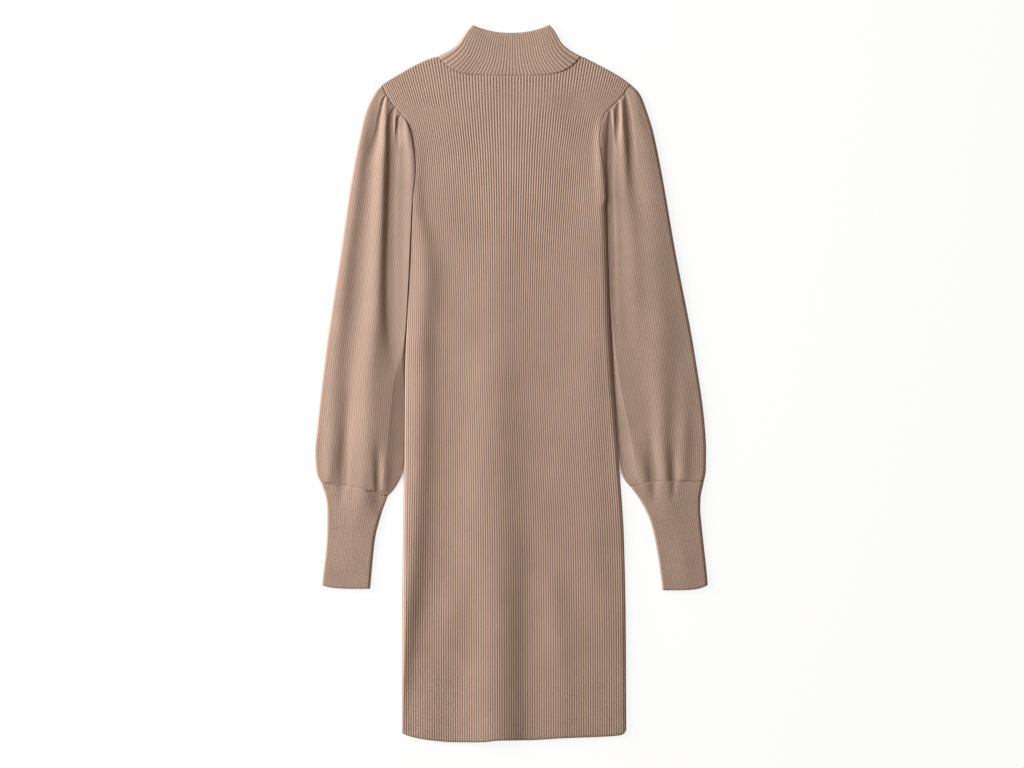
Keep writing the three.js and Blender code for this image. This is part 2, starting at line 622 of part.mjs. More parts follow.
// Builds a flattened, ribbed tube over a plan. under is the plan of the layer below, where it
// differs, and dipStart and dipEnd say how far the cloth sinks at the two ends
function ribbedTube({
  name, plan, under, height, ribs, rows, plainColumns, insideColumns, dipStart, dipEnd,
}) {
  const planUnder = under ?? plan;
  const distanceTo = (u, v, edge) => {
    const a = plan(edge, v);
    const b = plan(u, v);
    return Math.hypot(a[0] - b[0], a[1] - b[1]);
  };
  const edgeDistance = (u, v) => Math.min(distanceTo(u, v, 0), distanceTo(u, v, 1));
  const dipAt = (u, v) => {
    const [x, y] = plan(u, v);
    const [x0, y0] = plan(u, 0);
    const [x1, y1] = plan(u, 1);
    const start = edgeDrop(Math.hypot(x - x0, y - y0), dipStart);
    return Math.max(start, edgeDrop(Math.hypot(x - x1, y - y1), dipEnd));
  };
  const shrink = (u, v, depth) => {
    const width = distanceTo(0, v, 1);
    return mix(depth / width, 1 - depth / width, u);
  };
  const surface = (depth, lift, topColumns, bottomColumns) => ({
    topColumns,
    bottomColumns,
    top: (u, v) => {
      const s = shrink(u, v, depth);
      const edge = u === 0 || u === 1;
      const [x, y] = (edge ? planUnder : plan)(s, v);
      const away = edgeDistance(s, v) - depth;
      const z = tubeTop(height(x, y) - (edge ? 0 : dipAt(s, v)), away, depth);
      return [x, y, z + (edge ? 0 : lift(u))];
    },
    bottom: (u, v) => {
      const s = shrink(u, v, depth);
      const [x, y] = planUnder(s, v);
      return [x, y, tubeBottom(edgeDistance(s, v) - depth, depth)];
    },
  });
  return flatTube(
    name,
    rows,
    surface(0, (u) => ribLift(u, ribs), ribColumns(ribs), plainColumns),
    surface(WALL, () => 0, insideColumns ?? plainColumns, plainColumns),
  );
}

function collar() {
  const half = along(COLLAR_FLARE, 'rise', 'half');
  const tipRise = COLLAR_TIP_Y - NECK_SIDE_Y;
  const planOver = (neck) => (u, v) => {
    const side = 2 * u - 1;
    const x = mix(NECK_CENTRE_X, COLLAR_TIP_CENTRE_X, v) + side * half(v * tipRise);
    const seamX = NECK_CENTRE_X + side * NECK_HALF;
    const slope = neckCurve(seamX + 0.5, neck) - neckCurve(seamX - 0.5, neck);
    const low = neckCurve(seamX, neck) + NECK_GAP * Math.hypot(1, slope);
    const high = COLLAR_TIP_Y - COLLAR_TOP_SAG * (1 - Math.abs(side) ** COLLAR_TOP_POWER);
    return [x, mix(low, high, v)];
  };
  return ribbedTube({
    name: 'collar',
    plan: planOver(FRONT_NECK),
    under: planOver(BACK_NECK),
    height: heights(CUFF_PUFF, COLLAR_FOLDS),
    ribs: COLLAR_RIBS,
    rows: COLLAR_ROWS,
    plainColumns: COLLAR_COLUMNS,
    dipStart: SEAM_DIP,
    dipEnd: 0,
  });
}

// A sleeve's plan: straight lines from the cuff seam to the armhole, bent beside both its edges
function sleevePlan({ side, outerRows, innerRows, seamRows }) {
  const bodyEdge = side < 0 ? bodyLeft : bodyRight;
  const away = along(innerRows, 'y', 'away');
  const seamY = along(seamRows, 'x', 'y');
  const seamStart = seamRows[side < 0 ? 0 : seamRows.length - 1];
  const seamStop = seamRows[side < 0 ? seamRows.length - 1 : 0];
  const armhole = (u) => {
    const y = mix(SHOULDER_TIP_Y, UNDERARM_Y, armholeShare(u));
    const slope = bodyEdge(y + 0.5) - bodyEdge(y - 0.5);
    const gap = mix(ARMHOLE_GAP * Math.hypot(1, slope), FREE_EDGE_GAP, smoothstep(0.85, 1, u));
    return [bodyEdge(y) + side * gap, y];
  };
  const [tipX, tipY] = armhole(0);
  const outerX = along([...outerRows, { y: tipY, x: tipX }], 'y', 'x');
  const outer = (v) => {
    const y = mix(seamStart.y + CUFF_GAP / 2, tipY, v);
    return [outerX(y), y];
  };
  const inner = (v) => {
    const y = mix(seamStop.y + CUFF_GAP / 2, UNDERARM_Y, v);
    return [bodyEdge(y) + side * (FREE_EDGE_GAP + away(y)), y];
  };
  const cuffSeam = (u) => {
    const x = mix(outer(0)[0], inner(0)[0], u);
    return [x, seamY(x) + CUFF_GAP / 2];
  };
  return (u, v) => {
    const [x, y] = [0, 1].map((k) => {
      const straight = mix(cuffSeam(u)[k], armhole(u)[k], v);
      const bendOut = outer(v)[k] - mix(cuffSeam(0)[k], armhole(0)[k], v);
      const bendIn = inner(v)[k] - mix(cuffSeam(1)[k], armhole(1)[k], v);
      const reach = mix(1, 4, smoothstep(0.7, 0.97, v));
      return straight + bendOut * (1 - u) ** reach + bendIn * u ** reach;
    });
    const beside = side * bodyEdge(y) + FREE_EDGE_GAP;
    return [side * Math.max(side * x, beside), y];
  };
}

function sleeve(name, plan, folds) {
  return ribbedTube({
    name,
    plan,
    height: heights(SLEEVE_PUFF, folds),
    ribs: SLEEVE_RIBS,
    rows: SLEEVE_ROWS,
    plainColumns: SLEEVE_COLUMNS,
    insideColumns: SLEEVE_INSIDE,
    dipStart: SEAM_DIP,
    dipEnd: SEAM_DIP,
  });
}

// A cuff hangs from the sleeve's lower edge, so both follow one seam
function cuff(name, sleeveShape, sides, folds) {
  const outer = along(sides, 'y', 'outer');
  const inner = along(sides, 'y', 'inner');
  const bottomY = (u) => CUFF_BOTTOM_Y - 3.6 * Math.sin(Math.PI * u) - (outer(0) > 0 ? 5 * u : 4 * u);
  const plan = (u, v) => {
    const [seamX, seamY] = sleeveShape(u, 0);
    const y = mix(bottomY(u), seamY - CUFF_GAP, v);
    const edgeX = mix(outer(y), inner(y), u);
    const seamEdgeX = mix(outer(seamY), inner(seamY), u);
    const join = smoothstep(0.6, 1, v);
    return [edgeX + (seamX - seamEdgeX) * join, y];
  };
  return ribbedTube({
    name,
    plan,
    height: heights(CUFF_PUFF, folds),
    ribs: CUFF_RIBS,
    rows: CUFF_ROWS,
    plainColumns: SLEEVE_COLUMNS,
    dipStart: 0,
    dipEnd: SEAM_DIP,
  });
}

const leftPlan = sleevePlan({
  side: -1,
  outerRows: LEFT_SLEEVE_OUTER,
  innerRows: LEFT_SLEEVE_INNER,
  seamRows: LEFT_CUFF_SEAM,
});
const rightPlan = sleevePlan({
  side: 1,
  outerRows: RIGHT_SLEEVE_OUTER,
  innerRows: RIGHT_SLEEVE_INNER,
  seamRows: RIGHT_CUFF_SEAM,
});

const dress = new THREE.Group();
dress.add(
  bodyFront(),
  bodyBack(),
  collar(),
  sleeve('sleeve_left', leftPlan, LEFT_SLEEVE_FOLDS),
  sleeve('sleeve_right', rightPlan, RIGHT_SLEEVE_FOLDS),
  cuff('cuff_left', leftPlan, LEFT_CUFF_SIDES, LEFT_CUFF_FOLDS),
  cuff('cuff_right', rightPlan, RIGHT_CUFF_SIDES, RIGHT_CUFF_FOLDS),
);

export default dress;
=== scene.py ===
"""A rib-knit sweater dress laid flat: the looks of its knitted panels, seams and surroundings."""

import math

import bpy
import numpy as np
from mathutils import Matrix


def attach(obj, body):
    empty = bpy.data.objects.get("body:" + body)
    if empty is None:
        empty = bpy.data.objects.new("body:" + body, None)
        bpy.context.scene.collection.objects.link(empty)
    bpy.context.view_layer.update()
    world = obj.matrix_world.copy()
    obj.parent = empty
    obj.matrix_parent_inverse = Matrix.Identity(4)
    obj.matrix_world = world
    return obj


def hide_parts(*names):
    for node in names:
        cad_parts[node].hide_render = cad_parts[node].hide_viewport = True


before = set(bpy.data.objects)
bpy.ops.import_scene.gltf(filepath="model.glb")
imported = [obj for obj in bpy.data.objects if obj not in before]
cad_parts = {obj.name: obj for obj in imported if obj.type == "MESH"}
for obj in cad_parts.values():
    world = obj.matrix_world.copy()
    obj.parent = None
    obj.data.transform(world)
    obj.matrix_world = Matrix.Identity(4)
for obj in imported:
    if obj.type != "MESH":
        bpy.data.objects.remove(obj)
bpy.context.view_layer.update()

bl_info = {
    "name": "Rib-knit sweater dress",
    "version": (1, 0, 0),
    "blender": (4, 5, 0),
    "location": "View3D > Sidebar > Dress",
    "description": "Knits a sweater dress that lies flat, panel by panel",
    "category": "Object",
}

MM = 0.001
PHOTO_PIXEL = 1.325  # millimetres of the dress in one pixel of the view
PHOTO_COLUMNS = 1024

# Sizes of the dress, in millimetres, in the frame of its solids
WALL = 2.0
SEAM_GAP = 0.3
NECK_GAP = 0.2
ARMHOLE_GAP = 0.2
CUFF_GAP = 0.2
FREE_EDGE_GAP = 0.15
FLATTEST = 4.6  # two layers of cloth and the air between them
SIDE_SEAM_HEIGHT = 2.7
SEAM_DIP = 0.75
NECK_DIP = 0.3
SEAM_DIP_WIDTH = 3.5
HEM_DIP = 0.6
HEM_DIP_WIDTH = 11
CUT_EDGE_DIP = 0.8  # at the collar's top and the cuffs' ends
GATHER_DIP = 0.35  # at both sides of a cuff seam
SOFTNESS = 0.9  # how gently a trough levels out on the layer below it
UNEVENNESS = 0.22  # height of the faint waves that no cloth is without
CRISP_EDGE, ROUND_EDGE = 2.8, 5  # radii of the tubes' folded edges
PRESSED_EDGE = 1  # where a sleeve lies against the body
COLLAR_FAR_EDGE = 1.4
CLOSED_PITCH, DRAWN_PITCH = 2.2, 3.1  # from one rib to the next, at rest and drawn apart
CLOSED_RELIEF = 0.45  # the share of a rib's relief that shows at rest
SKIRT_RELIEF = 0.62  # the share that shows at the hem, growing to all of it at the chest
LINKING_PITCH = 2.4
HEM_EDGE = 0.7  # how far the last stitches curl down at the hem
BACK_HEM_EDGE = 0.5
TOP_EDGE_SHARE = 60  # power that keeps the top edge's inset to its last rows

# Radius of an edge for each millimetre that the cloth drops there
EDGE_ROUNDNESS = 0.6
RIGHT_SIDE_ROUNDNESS = 2
TOP_ROUNDNESS = 0.4

HEM_Y = -460
SHOULDER_TIP_Y = 396
UNDERARM_Y = 246
NECK_SIDE_Y = 433
NECK_CENTRE_X = -2.5
NECK_HALF = 94.5
FRONT_NECK = {"drop": 25, "power": 5}
BACK_NECK = {"drop": 9, "power": 2}
COLLAR_TIP_Y = 475
COLLAR_TIP_CENTRE_X = -0.9
COLLAR_TOP_SAG = 10.6
COLLAR_TOP_POWER = 2.2
CUFF_BOTTOM_Y = -267

HEM_RIBS = 96
COLLAR_RIBS = 38
SLEEVE_RIBS = 42
CUFF_RIBS = 26


def table(columns, *rows):
    """A table with named columns, one array for each."""
    return {name: np.array([row[i] for row in rows], float) for i, name in enumerate(columns.split())}


BODY_SIDES = table(
    "y left right",
    (-480, -145, 152), (-330, -145, 151.4), (-207, -143.8, 149), (-95, -142, 141.4),
    (25, -141, 133.2), (144, -136, 128.2), (246, -131.2, 125.2), (284, -127.6, 122.6),
    (322, -131, 117.2), (340, -135.8, 118.4), (355, -144, 122.4), (369, -156.8, 135),
    (381, -164.8, 147), (392, -169.4, 154.6), (396, -171, 157.4), (440, -171, 157.4),
)
SHOULDER_LINE = table(
    "x y",
    (-171.4, 396), (-163.6, 401.4), (-153, 407.6), (-142.4, 413.7), (-131.8, 419.8),
    (-121.2, 425), (-110.6, 429.6), (-97, 433),
    (92, 433), (104, 427.8), (119.9, 419.6), (135.8, 411), (146.4, 404.5), (157.8, 396),
)
HEM_LINE = table(
    "x y",
    (-146, -461.5), (-143, -464), (-136, -466.8), (-127.9, -469), (-108, -472.4), (-74.9, -475),
    (-41.7, -475), (-15.2, -472.6), (24.5, -472.4), (64.3, -469.9), (104, -468.4), (128, -467.4),
    (144, -465.8), (149, -463.6), (153, -457),
)
COLLAR_FLARE = table(
    "rise half",
    (0, 94.5), (2, 90.5), (10, 77), (18, 68), (26, 63), (34, 58), (42, 51.2),
)
LEFT_SLEEVE_OUTER = table(
    "y x",
    (-131, -252.6), (-121, -257.7), (-108, -259.7), (-88, -260.4), (-62, -257.9),
    (44, -245.8), (177, -225.9), (283, -210), (336, -199.3), (351, -195.8), (361, -192.6),
    (372, -188.3), (381.5, -182.9), (387.8, -179.2), (393.2, -174.2), (396, -171.3),
)
RIGHT_SLEEVE_OUTER = table(
    "y x",
    (-131, 254.4), (-115, 257.4), (-88, 257.7), (-62, 256.4), (44, 241.8), (177, 216.6),
    (283, 198.1), (336, 187), (353, 181.8), (364, 178), (377.6, 172.9), (386.6, 167.6),
    (391.9, 162.3), (396, 157.7),
)
LEFT_SLEEVE_INNER = table(
    "y away", (-150, 22), (-141, 13.4), (-128, 5.8), (-115, 2.2), (-95, 0), (246, 0),
)
RIGHT_SLEEVE_INNER = table(
    "y away", (-137, 13), (-128, 6.2), (-115, 2.8), (-88, 1.4), (25, 0.9), (200, 0.6), (246, 0),
)
# How far the cloth needs to rise from a sleeve's inner edge, which the body's side presses down
LEFT_PRESS = table(
    "v reach",
    (0, 17), (0.1, 25), (0.32, 25), (0.41, 18), (0.47, 9), (0.56, 2.5), (0.68, 1), (1, 1),
)
RIGHT_PRESS = table(
    "v reach", (0, 18), (0.12, 20), (0.3, 14), (0.5, 9), (0.6, 7), (0.72, 5), (1, 4),
)
LEFT_CUFF_SEAM = table(
    "x y",
    (-252.6, -131), (-229.5, -134.2), (-200.7, -138.5), (-187.5, -143.8), (-174.6, -146.9),
    (-165.8, -149),
)
RIGHT_CUFF_SEAM = table(
    "x y", (157.8, -136.6), (184.8, -130.6), (217.3, -129.4), (254.4, -129.6),
)
LEFT_CUFF_SIDES = table(
    "y outer inner",
    (-272, -251.6, -187.2), (-260, -250.6, -186.2), (-207, -245, -180.9),
    (-181, -244.3, -175.6), (-168, -244.3, -172.9), (-154, -245.4, -168.6),
    (-131, -252.6, -160.5),
)
RIGHT_CUFF_SIDES = table(
    "y outer inner",
    (-273, 260.2, 199.9), (-260, 259.4, 198.4), (-207, 253.8, 190.1), (-181, 251.1, 183.5),
    (-168, 249.9, 178.2), (-154, 250, 171), (-129, 254.4, 153),
)

# Half the width that all the front's ribs would need, though some end at the armholes, and how much
# wider apart they stand in the middle than at the sides
RIB_SPREAD = table(
    "y half share",
    (-330, 148.2, 0), (-207, 146.4, 0), (-95, 141.7, 0), (25, 137.1, 0.01), (110, 134, 0.035),
    (175, 134.5, 0.07), (246, 138, 0.11), (303, 141.5, 0.149), (336, 148, 0.167),
    (376, 162, 0.146), (408, 178, 0.09), (440, 194, 0.05),
)


def fold(*rows, lean=0.0):
    """A fold down the cloth: place, rise (a trough's is negative) and half width at each height.

    A lean above 0 makes its right flank the steeper one, and below 0 its left flank.
    """
    return dict(table("y x rise half", *sorted(rows)), lean=lean)


BODY_PUFF = 0.7
BODY_FOLDS = [
    fold((350, -124, 0, 9), (296, -125, 1.5, 10), (243, -127, 2.6, 11), (190, -119, 3.4, 16),
         (137, -114, 4.6, 19), (84, -119, 5, 19), (31, -121, 5.2, 19), (-22, -121.5, 5.2, 19),
         (-75, -122.5, 5.2, 19), (-181, -129, 5.8, 20), (-234, -133, 6.3, 19.5),
         (-287, -138, 6.5, 18), (-340, -143, 5.6, 17), (-420, -152, 2.4, 14),
         (-485, -156, 0, 12), lean=0.08),
    fold((60, -45, 0, 22), (0, -45, 0.8, 24), (-100, -46, 1, 24), (-170, -52, 1.2, 24),
         (-230, -60, 1.5, 24), (-340, -86, 1.7, 24), (-430, -106, 1.2, 24), (-485, -115, 0.6, 22)),
    fold((300, -12, 0, 32), (243, -16, 0.8, 33), (190, -20, 1.1, 33), (137, -21, 1.6, 33),
         (84, -21, 2.2, 33), (31, -20, 3.3, 33), (-22, -20, 4.2, 33), (-75, -20, 4.7, 33),
         (-181, -20, 5.2, 33), (-340, -19, 6.2, 33), (-485, -19, 7, 33), lean=0.1),
    fold((-120, 26, 0, 16), (-234, 24, -1, 16), (-287, 23, -1.8, 16), (-393, 23, -2.4, 16),
         (-485, 24, -2.6, 16)),
    fold((330, 112, 0, 26), (243, 112, 1.6, 28), (190, 112, 2.0, 28), (137, 114, 2.4, 28),
         (31, 115, 2.4, 28), (-22, 112, 1.7, 26), (-128, 106, 1.2, 24), (-234, 112, 1.4, 22),
         (-340, 128, 0.9, 22), (-450, 130, 0, 20)),
    fold((358, 121, 0, 7), (340, 118.5, 1.8, 7), (322, 118, 2.8, 7.5), (290, 118.5, 2.8, 7.5),
         (250, 120.5, 1.8, 8), (190, 126, 1.2, 9), (150, 129, 1.2, 9), (44, 134, 1.4, 9),
         (-62, 141, 1.4, 9), (-115, 145, 0.8, 9), (-200, 150, 0, 9)),
    fold((-230, 56, 0, 12), (-287, 58, 1.0, 14), (-393, 66, 1.1, 16), (-485, 66, 0.8, 16)),
    fold((330, 0, 0, 70), (243, 20, 0.8, 75), (110, 50, 0.6, 70), (-60, 60, 0.6, 60),
         (-485, 60, 0.5, 60)),
]
SLEEVE_PUFF = 0.9
LEFT_SLEEVE_FOLDS = [
    fold((396, -178, 0.2, 6), (372, -184, 0.8, 7), (350, -190, 1.5, 8.5), (323, -197, 2.9, 10),
         (296, -201, 3.6, 10), (243, -207, 3.3, 11), (210, -212, 3.1, 11), (144, -221, 3.7, 12),
         (78, -228, 3.5, 13), (11, -234, 3.1, 14), (-75, -238, 3.3, 13), (-115, -240, 2.4, 10),
         (-136, -243, 1.2, 8)),
    fold((380, -166.5, 1.3, 5), (350, -166.5, 3.4, 5.5), (323, -167, 4.6, 7.5),
         (296, -169.5, 5.3, 10), (243, -171.5, 5.6, 12), (150, -176, 5.6, 14.5),
         (97, -179, 5.4, 15.5), (44, -185, 4.2, 17), (11, -190, 3, 17), (-22, -192, 2.6, 17),
         (-75, -194, 2.6, 17), (-115, -197, 2.6, 15), (-142, -199, 2.4, 12), lean=0.1),
    fold((110, -176, 0, 20), (80, -176, 1, 22), (44, -176, 2.5, 24), (11, -178, 4, 26),
         (-22, -179, 4.4, 26), (-75, -180, 4.4, 26), (-115, -180, 3.4, 20), (-142, -180, 1.6, 14)),
    fold((381, -166.6, -1.5, 1.5), (376, -169.3, -4, 1.7), (361.5, -172.6, -5, 1.8),
         (350.7, -174.8, -4.2, 2), (340, -176.2, -3, 2.4), (325, -179, -1.8, 4),
         (305, -184, -0.8, 6), (288, -188, 0, 8)),
    fold((366, -155, -2, 1.5), (360, -157, -5, 2), (353, -159.2, -6.4, 2.8),
         (336, -159.6, -7, 4.2), (309, -158.4, -7, 5.2), (256, -160, -6.6, 6),
         (200, -161.5, -6, 6.5), (144, -162, -5.4, 7.5), (80, -161, -3.6, 8), (40, -157, -1.4, 8),
         (10, -154, 0, 8)),
    fold((359, -153.5, 0, 2), (342, -155, 2.8, 2.4), (325, -155.4, 2.2, 2.6),
         (304, -155, 0, 4)),
    fold((356, -147.5, -2, 1.4), (350, -150, -4.6, 1.6), (336, -151.2, -4.8, 1.9),
         (322, -151.4, -3.2, 2.6), (306, -151, 0, 3.4)),
    fold((352, -139, 1.6, 4.5), (330, -137, 3.4, 6.5), (300, -132.5, 3.2, 8), (243, -131, 2.8, 9),
         (144, -132, 3.2, 9.5), (111, -133, 3, 9), (60, -137, 2.2, 7.5), (20, -140, 1.2, 6),
         (-5, -142, 0, 6)),
    fold((30, -214, 0, 7), (-48, -218, -1.2, 7), (-95, -221, -2.8, 6), (-138, -222, -3.6, 5)),
    fold((-70, -176, 0, 6), (-105, -177, -2, 5), (-148, -176, -4.4, 4)),
    fold((-92, -165, 0, 6), (-118, -165, 1.2, 6), (-142, -166, 1, 5)),
]
RIGHT_SLEEVE_FOLDS = [
    fold((388, 163, 0.8, 6), (349, 168, 1.6, 9), (323, 176, 2.1, 13), (296, 181, 2, 15),
         (243, 186, 2, 19), (177, 188, 2.5, 23), (111, 193, 3.2, 24), (44, 196, 3.4, 22),
         (11, 197, 3.2, 19), (-22, 199, 3, 15), (-75, 200, 2.9, 11), (-115, 203, 2.9, 9),
         (-138, 205, 1.8, 8)),
    fold((384, 151, -2, 1.5), (375, 152.8, -4.8, 2), (350, 156.2, -5, 2.6),
         (322, 158.2, -4.2, 3.6), (290, 159.6, -2.4, 5.5), (255, 161, -1, 8), (225, 162, 0, 9)),
    fold((376, 146, 1.6, 2.8), (345, 147, 3.2, 4), (320, 148, 3, 6), (296, 149.5, 2.6, 8),
         (250, 154, 2.2, 10), (200, 158, 2, 12), (120, 163, 1.8, 13), (60, 167, 0.8, 13),
         (10, 170, 0, 13)),
    fold((371, 141.6, -2, 1.4), (362, 141, -5, 1.9), (350, 140.6, -5.6, 2.4),
         (335, 139.8, -4.6, 2.8), (316, 139, 0, 3.8)),
    fold((364, 134.6, 0.8, 2.6), (345, 134.4, 1.8, 3), (330, 134.4, 1.4, 4), (312, 136, 0, 5)),
    fold((362, 130.6, -2, 1.6), (352, 131, -5, 2.4), (336, 131.4, -6.6, 3.6),
         (300, 130.4, -7, 4), (262, 129.8, -6.4, 3.8), (236, 131, -5.6, 4.2),
         (180, 133, -4, 4.2), (90, 136, -1.4, 5), (30, 138, 0, 6)),
    fold((358, 121, 0, 7), (340, 118.5, 1.8, 7), (322, 118, 2.8, 7.5), (290, 118.5, 2.8, 7.5),
         (250, 120.5, 1.8, 8), (225, 123, 0, 8)),
    fold((30, 228, 0, 10), (-22, 229, 1.2, 11), (-75, 228, 2, 10), (-115, 227, 2, 9),
         (-138, 228, 1, 8)),
    fold((-60, 158, 0, 8), (-95, 168, 1, 8), (-115, 173, 1.7, 8), (-140, 178, 0.9, 7)),
    fold((-55, 183, 0, 6), (-100, 186, -2, 6), (-138, 189, -3, 5)),
    fold((-75, 213, 0, 5), (-112, 214.5, -2, 5), (-134, 215, -3, 4)),
]
CUFF_PUFF = 1.3
LEFT_CUFF_FOLDS = [
    fold((-250, -216, 0.2, 24), (-194, -206, 0.8, 20), (-168, -200, 1.7, 18),
         (-150, -196, 3, 15), (-130, -196, 3.8, 14)),
    fold((-165, -226, 0, 5), (-130, -224, -2, 6)),
    fold((-188, -172, 0, 8), (-152, -169, -3.4, 11), (-130, -167, -3.4, 11)),
]
RIGHT_CUFF_FOLDS = [
    fold((-285, 232, 0.4, 16), (-234, 228, 1.1, 16), (-194, 218, 0.7, 20), (-154, 206, 1.5, 18),
         (-126, 205, 2.2, 12)),
    fold((-165, 180, 0, 9), (-150, 178, 0.6, 9), (-126, 177, 1.4, 8)),
    fold((-160, 214, 0, 5), (-126, 215, -2, 4)),
    fold((-160, 189, 0, 5), (-126, 189, -2, 5)),
]
COLLAR_FOLDS = [
    fold((408, -78, 1.1, 26), (440, -64, 1.7, 26), (476, -50, 1.2, 22)),
    fold((408, 80, 0.9, 30), (440, 60, 1.7, 30), (476, 46, 1.2, 24)),
]


# Shape tools


def mix(a, b, t):
    return a + (b - a) * t


def smoothstep(a, b, t):
    s = np.clip((t - a) / (b - a), 0, 1)
    return s * s * (3 - 2 * s)


def along(rows, key, column):
    """Reads one column of a table along its key column, on a smooth monotone curve."""
    k, f = rows[key], rows[column]
    if k[0] > k[-1]:
        k, f = k[::-1], f[::-1]
    secant = np.diff(f) / np.diff(k)
    slope = np.concatenate([secant[:1], np.zeros(len(k) - 2), secant[-1:]])
    before, after = secant[:-1], secant[1:]
    agree = before * after > 0
    total = np.where(agree, before + after, 1)
    slope[1:-1] = np.where(agree, 2 * before * after / total, 0)

    def read(at):
        at = np.clip(at, k[0], k[-1])
        i = np.clip(np.searchsorted(k, at, side="right") - 1, 0, len(k) - 2)
        h = k[i + 1] - k[i]
        t = (at - k[i]) / h
        return (
            (2 * t**3 - 3 * t**2 + 1) * f[i]
            + (t**3 - 2 * t**2 + t) * h * slope[i]
            + (3 * t**2 - 2 * t**3) * f[i + 1]
            + (t**3 - t**2) * h * slope[i + 1]
        )

    return read


def heights(puff, folds):
    """The height of a piece's smooth top: two layers, a puff, the folds and a faint unevenness."""
    curves = [{c: along(f, "y", c) for c in ("x", "rise", "half")} for f in folds]

    def height(x, y):
        lift = puff + UNEVENNESS * np.sin(x / 13 + 1.3 * np.sin(y / 47)) * np.sin(y / 39 + x / 71)
        for rows, curve in zip(folds, curves):
            inside = (y >= rows["y"].min()) & (y <= rows["y"].max())
            off = x - curve["x"](y)
            half = curve["half"](y) * (1 - rows["lean"] * np.sign(off))
            lift = lift + np.where(inside, curve["rise"](y) * np.exp(-((off / half) ** 2)), 0)
        return FLATTEST + SOFTNESS * np.logaddexp(0, lift / SOFTNESS)

    return height


def quarter_round(distance, radius):
    """0 at the very edge, 1 once the distance from the edge is the radius."""
    t = 1 - np.clip(distance / np.maximum(radius, 1e-6), 0, 1)
    return np.sqrt(np.maximum(0, 1 - t * t))


def edge_drop(distance, drop, roundness=EDGE_ROUNDNESS):
    """How far the cloth has sunk at a distance from an edge where it drops altogether."""
    radius = np.maximum(roundness * drop, SEAM_DIP_WIDTH * smoothstep(2.2, 0.8, drop))
    return drop * (1 - quarter_round(distance, radius))


def rib_profile(ribs):
    """A rib's round back and narrow groove, from 0 to 1, for a place counted in ribs."""
    return np.abs(np.sin(np.pi * ribs)) ** 0.9


def stretched(pitch):
    """Ribs that are drawn apart show their full relief; where they close up they hide it."""
    return mix(CLOSED_RELIEF, 1, smoothstep(CLOSED_PITCH, DRAWN_PITCH, pitch))


# Meshes of knitted walls


def grid_quads(rows, columns, closed):
    """Corner indices of a grid's quads, in vertices and in texture places."""
    width = columns + (1 if closed else 0)
    places = np.arange(rows * width).reshape(rows, width)
    vertices = np.arange(rows * columns).reshape(rows, columns)
    if closed:
        vertices = np.hstack([vertices, vertices[:, :1]])
    corners = ((slice(None, -1), slice(None, -1)), (slice(None, -1), slice(1, None)),
               (slice(1, None), slice(1, None)), (slice(1, None), slice(None, -1)))
    return [np.stack([g[c].ravel() for c in corners], 1) for g in (vertices, places)]


def zip_rim(a, b):
    """Triangles between two edges that run the same way, whatever their numbers of points."""
    faces = []
    i = j = 0
    while i < len(a) - 1 or j < len(b) - 1:
        step_a = j == len(b) - 1 or (i < len(a) - 1 and a[i + 1][0] <= b[j + 1][0] + 1e-9)
        if step_a:
            faces.append((a[i][1:], a[i + 1][1:], b[j][1:]))
            i += 1
        else:
            faces.append((a[i][1:], b[j + 1][1:], b[j][1:]))
            j += 1
    return faces


def knit_wall(name, outer, inner, closed, material):
    """One closed wall: a fine outer surface, a plainer inner one and the rims between them.

    Each surface is a dict: points and places (both by row and column), rows and columns.
    """
    vertices, texture, faces, face_places = [], [], [], []
    edges = []
    for turn, side in enumerate((outer, inner)):
        start, place_start = sum(map(len, vertices)), sum(map(len, texture))
        count_rows, count_columns = side["points"].shape[:2]
        vertices.append(side["points"].reshape(-1, 3))
        texture.append(side["places"].reshape(-1, 2))
        quads, places = grid_quads(count_rows, count_columns, closed)
        order = slice(None, None, -1) if turn else slice(None)
        faces += (quads[:, order] + start).tolist()
        face_places += (places[:, order] + place_start).tolist()
        width = side["places"].shape[1]

        def entry(row, column, at):
            return (at, start + row * count_columns + column % count_columns,
                    place_start + row * width + column)

        last = count_rows - 1
        rim = [[entry(row, c, at) for c, at in enumerate(side["columns"])] for row in (0, last)]
        if not closed:
            far = count_columns - 1
            rim += [[entry(r, c, at) for r, at in enumerate(side["rows"])] for c in (0, far)]
        edges.append(rim)
    for k, (a, b) in enumerate(zip(*edges)):
        flip = k in (0, 3)
        for face in zip_rim(a, b):
            face = face[::-1] if flip else face
            faces.append([v for v, _ in face])
            face_places.append([p for _, p in face])
    mesh = bpy.data.meshes.new(name)
    mesh.from_pydata((np.vstack(vertices) * MM).tolist(), [], faces)
    layer = mesh.uv_layers.new(name="Knit")
    flat = np.concatenate([np.asarray(p) for p in face_places])
    layer.data.foreach_set("uv", np.vstack(texture)[flat].ravel().astype(np.float32))
    mesh.polygons.foreach_set("use_smooth", np.ones(len(mesh.polygons), bool))
    mesh.materials.append(material)
    mesh.update()
    piece = bpy.data.objects.new(name, mesh)
    bpy.context.collection.objects.link(piece)
    if signed_volume(mesh) < 0:
        mesh.flip_normals()
    return piece


def signed_volume(mesh):
    mesh.calc_loop_triangles()
    points = np.empty(len(mesh.vertices) * 3)
    mesh.vertices.foreach_get("co", points)
    corners = np.empty(len(mesh.loop_triangles) * 3, int)
    mesh.loop_triangles.foreach_get("vertices", corners)
    a, b, c = points.reshape(-1, 3)[corners.reshape(-1, 3)].transpose(1, 0, 2)
    return float(np.sum(a * np.cross(b, c)) / 6)


# The body's plan

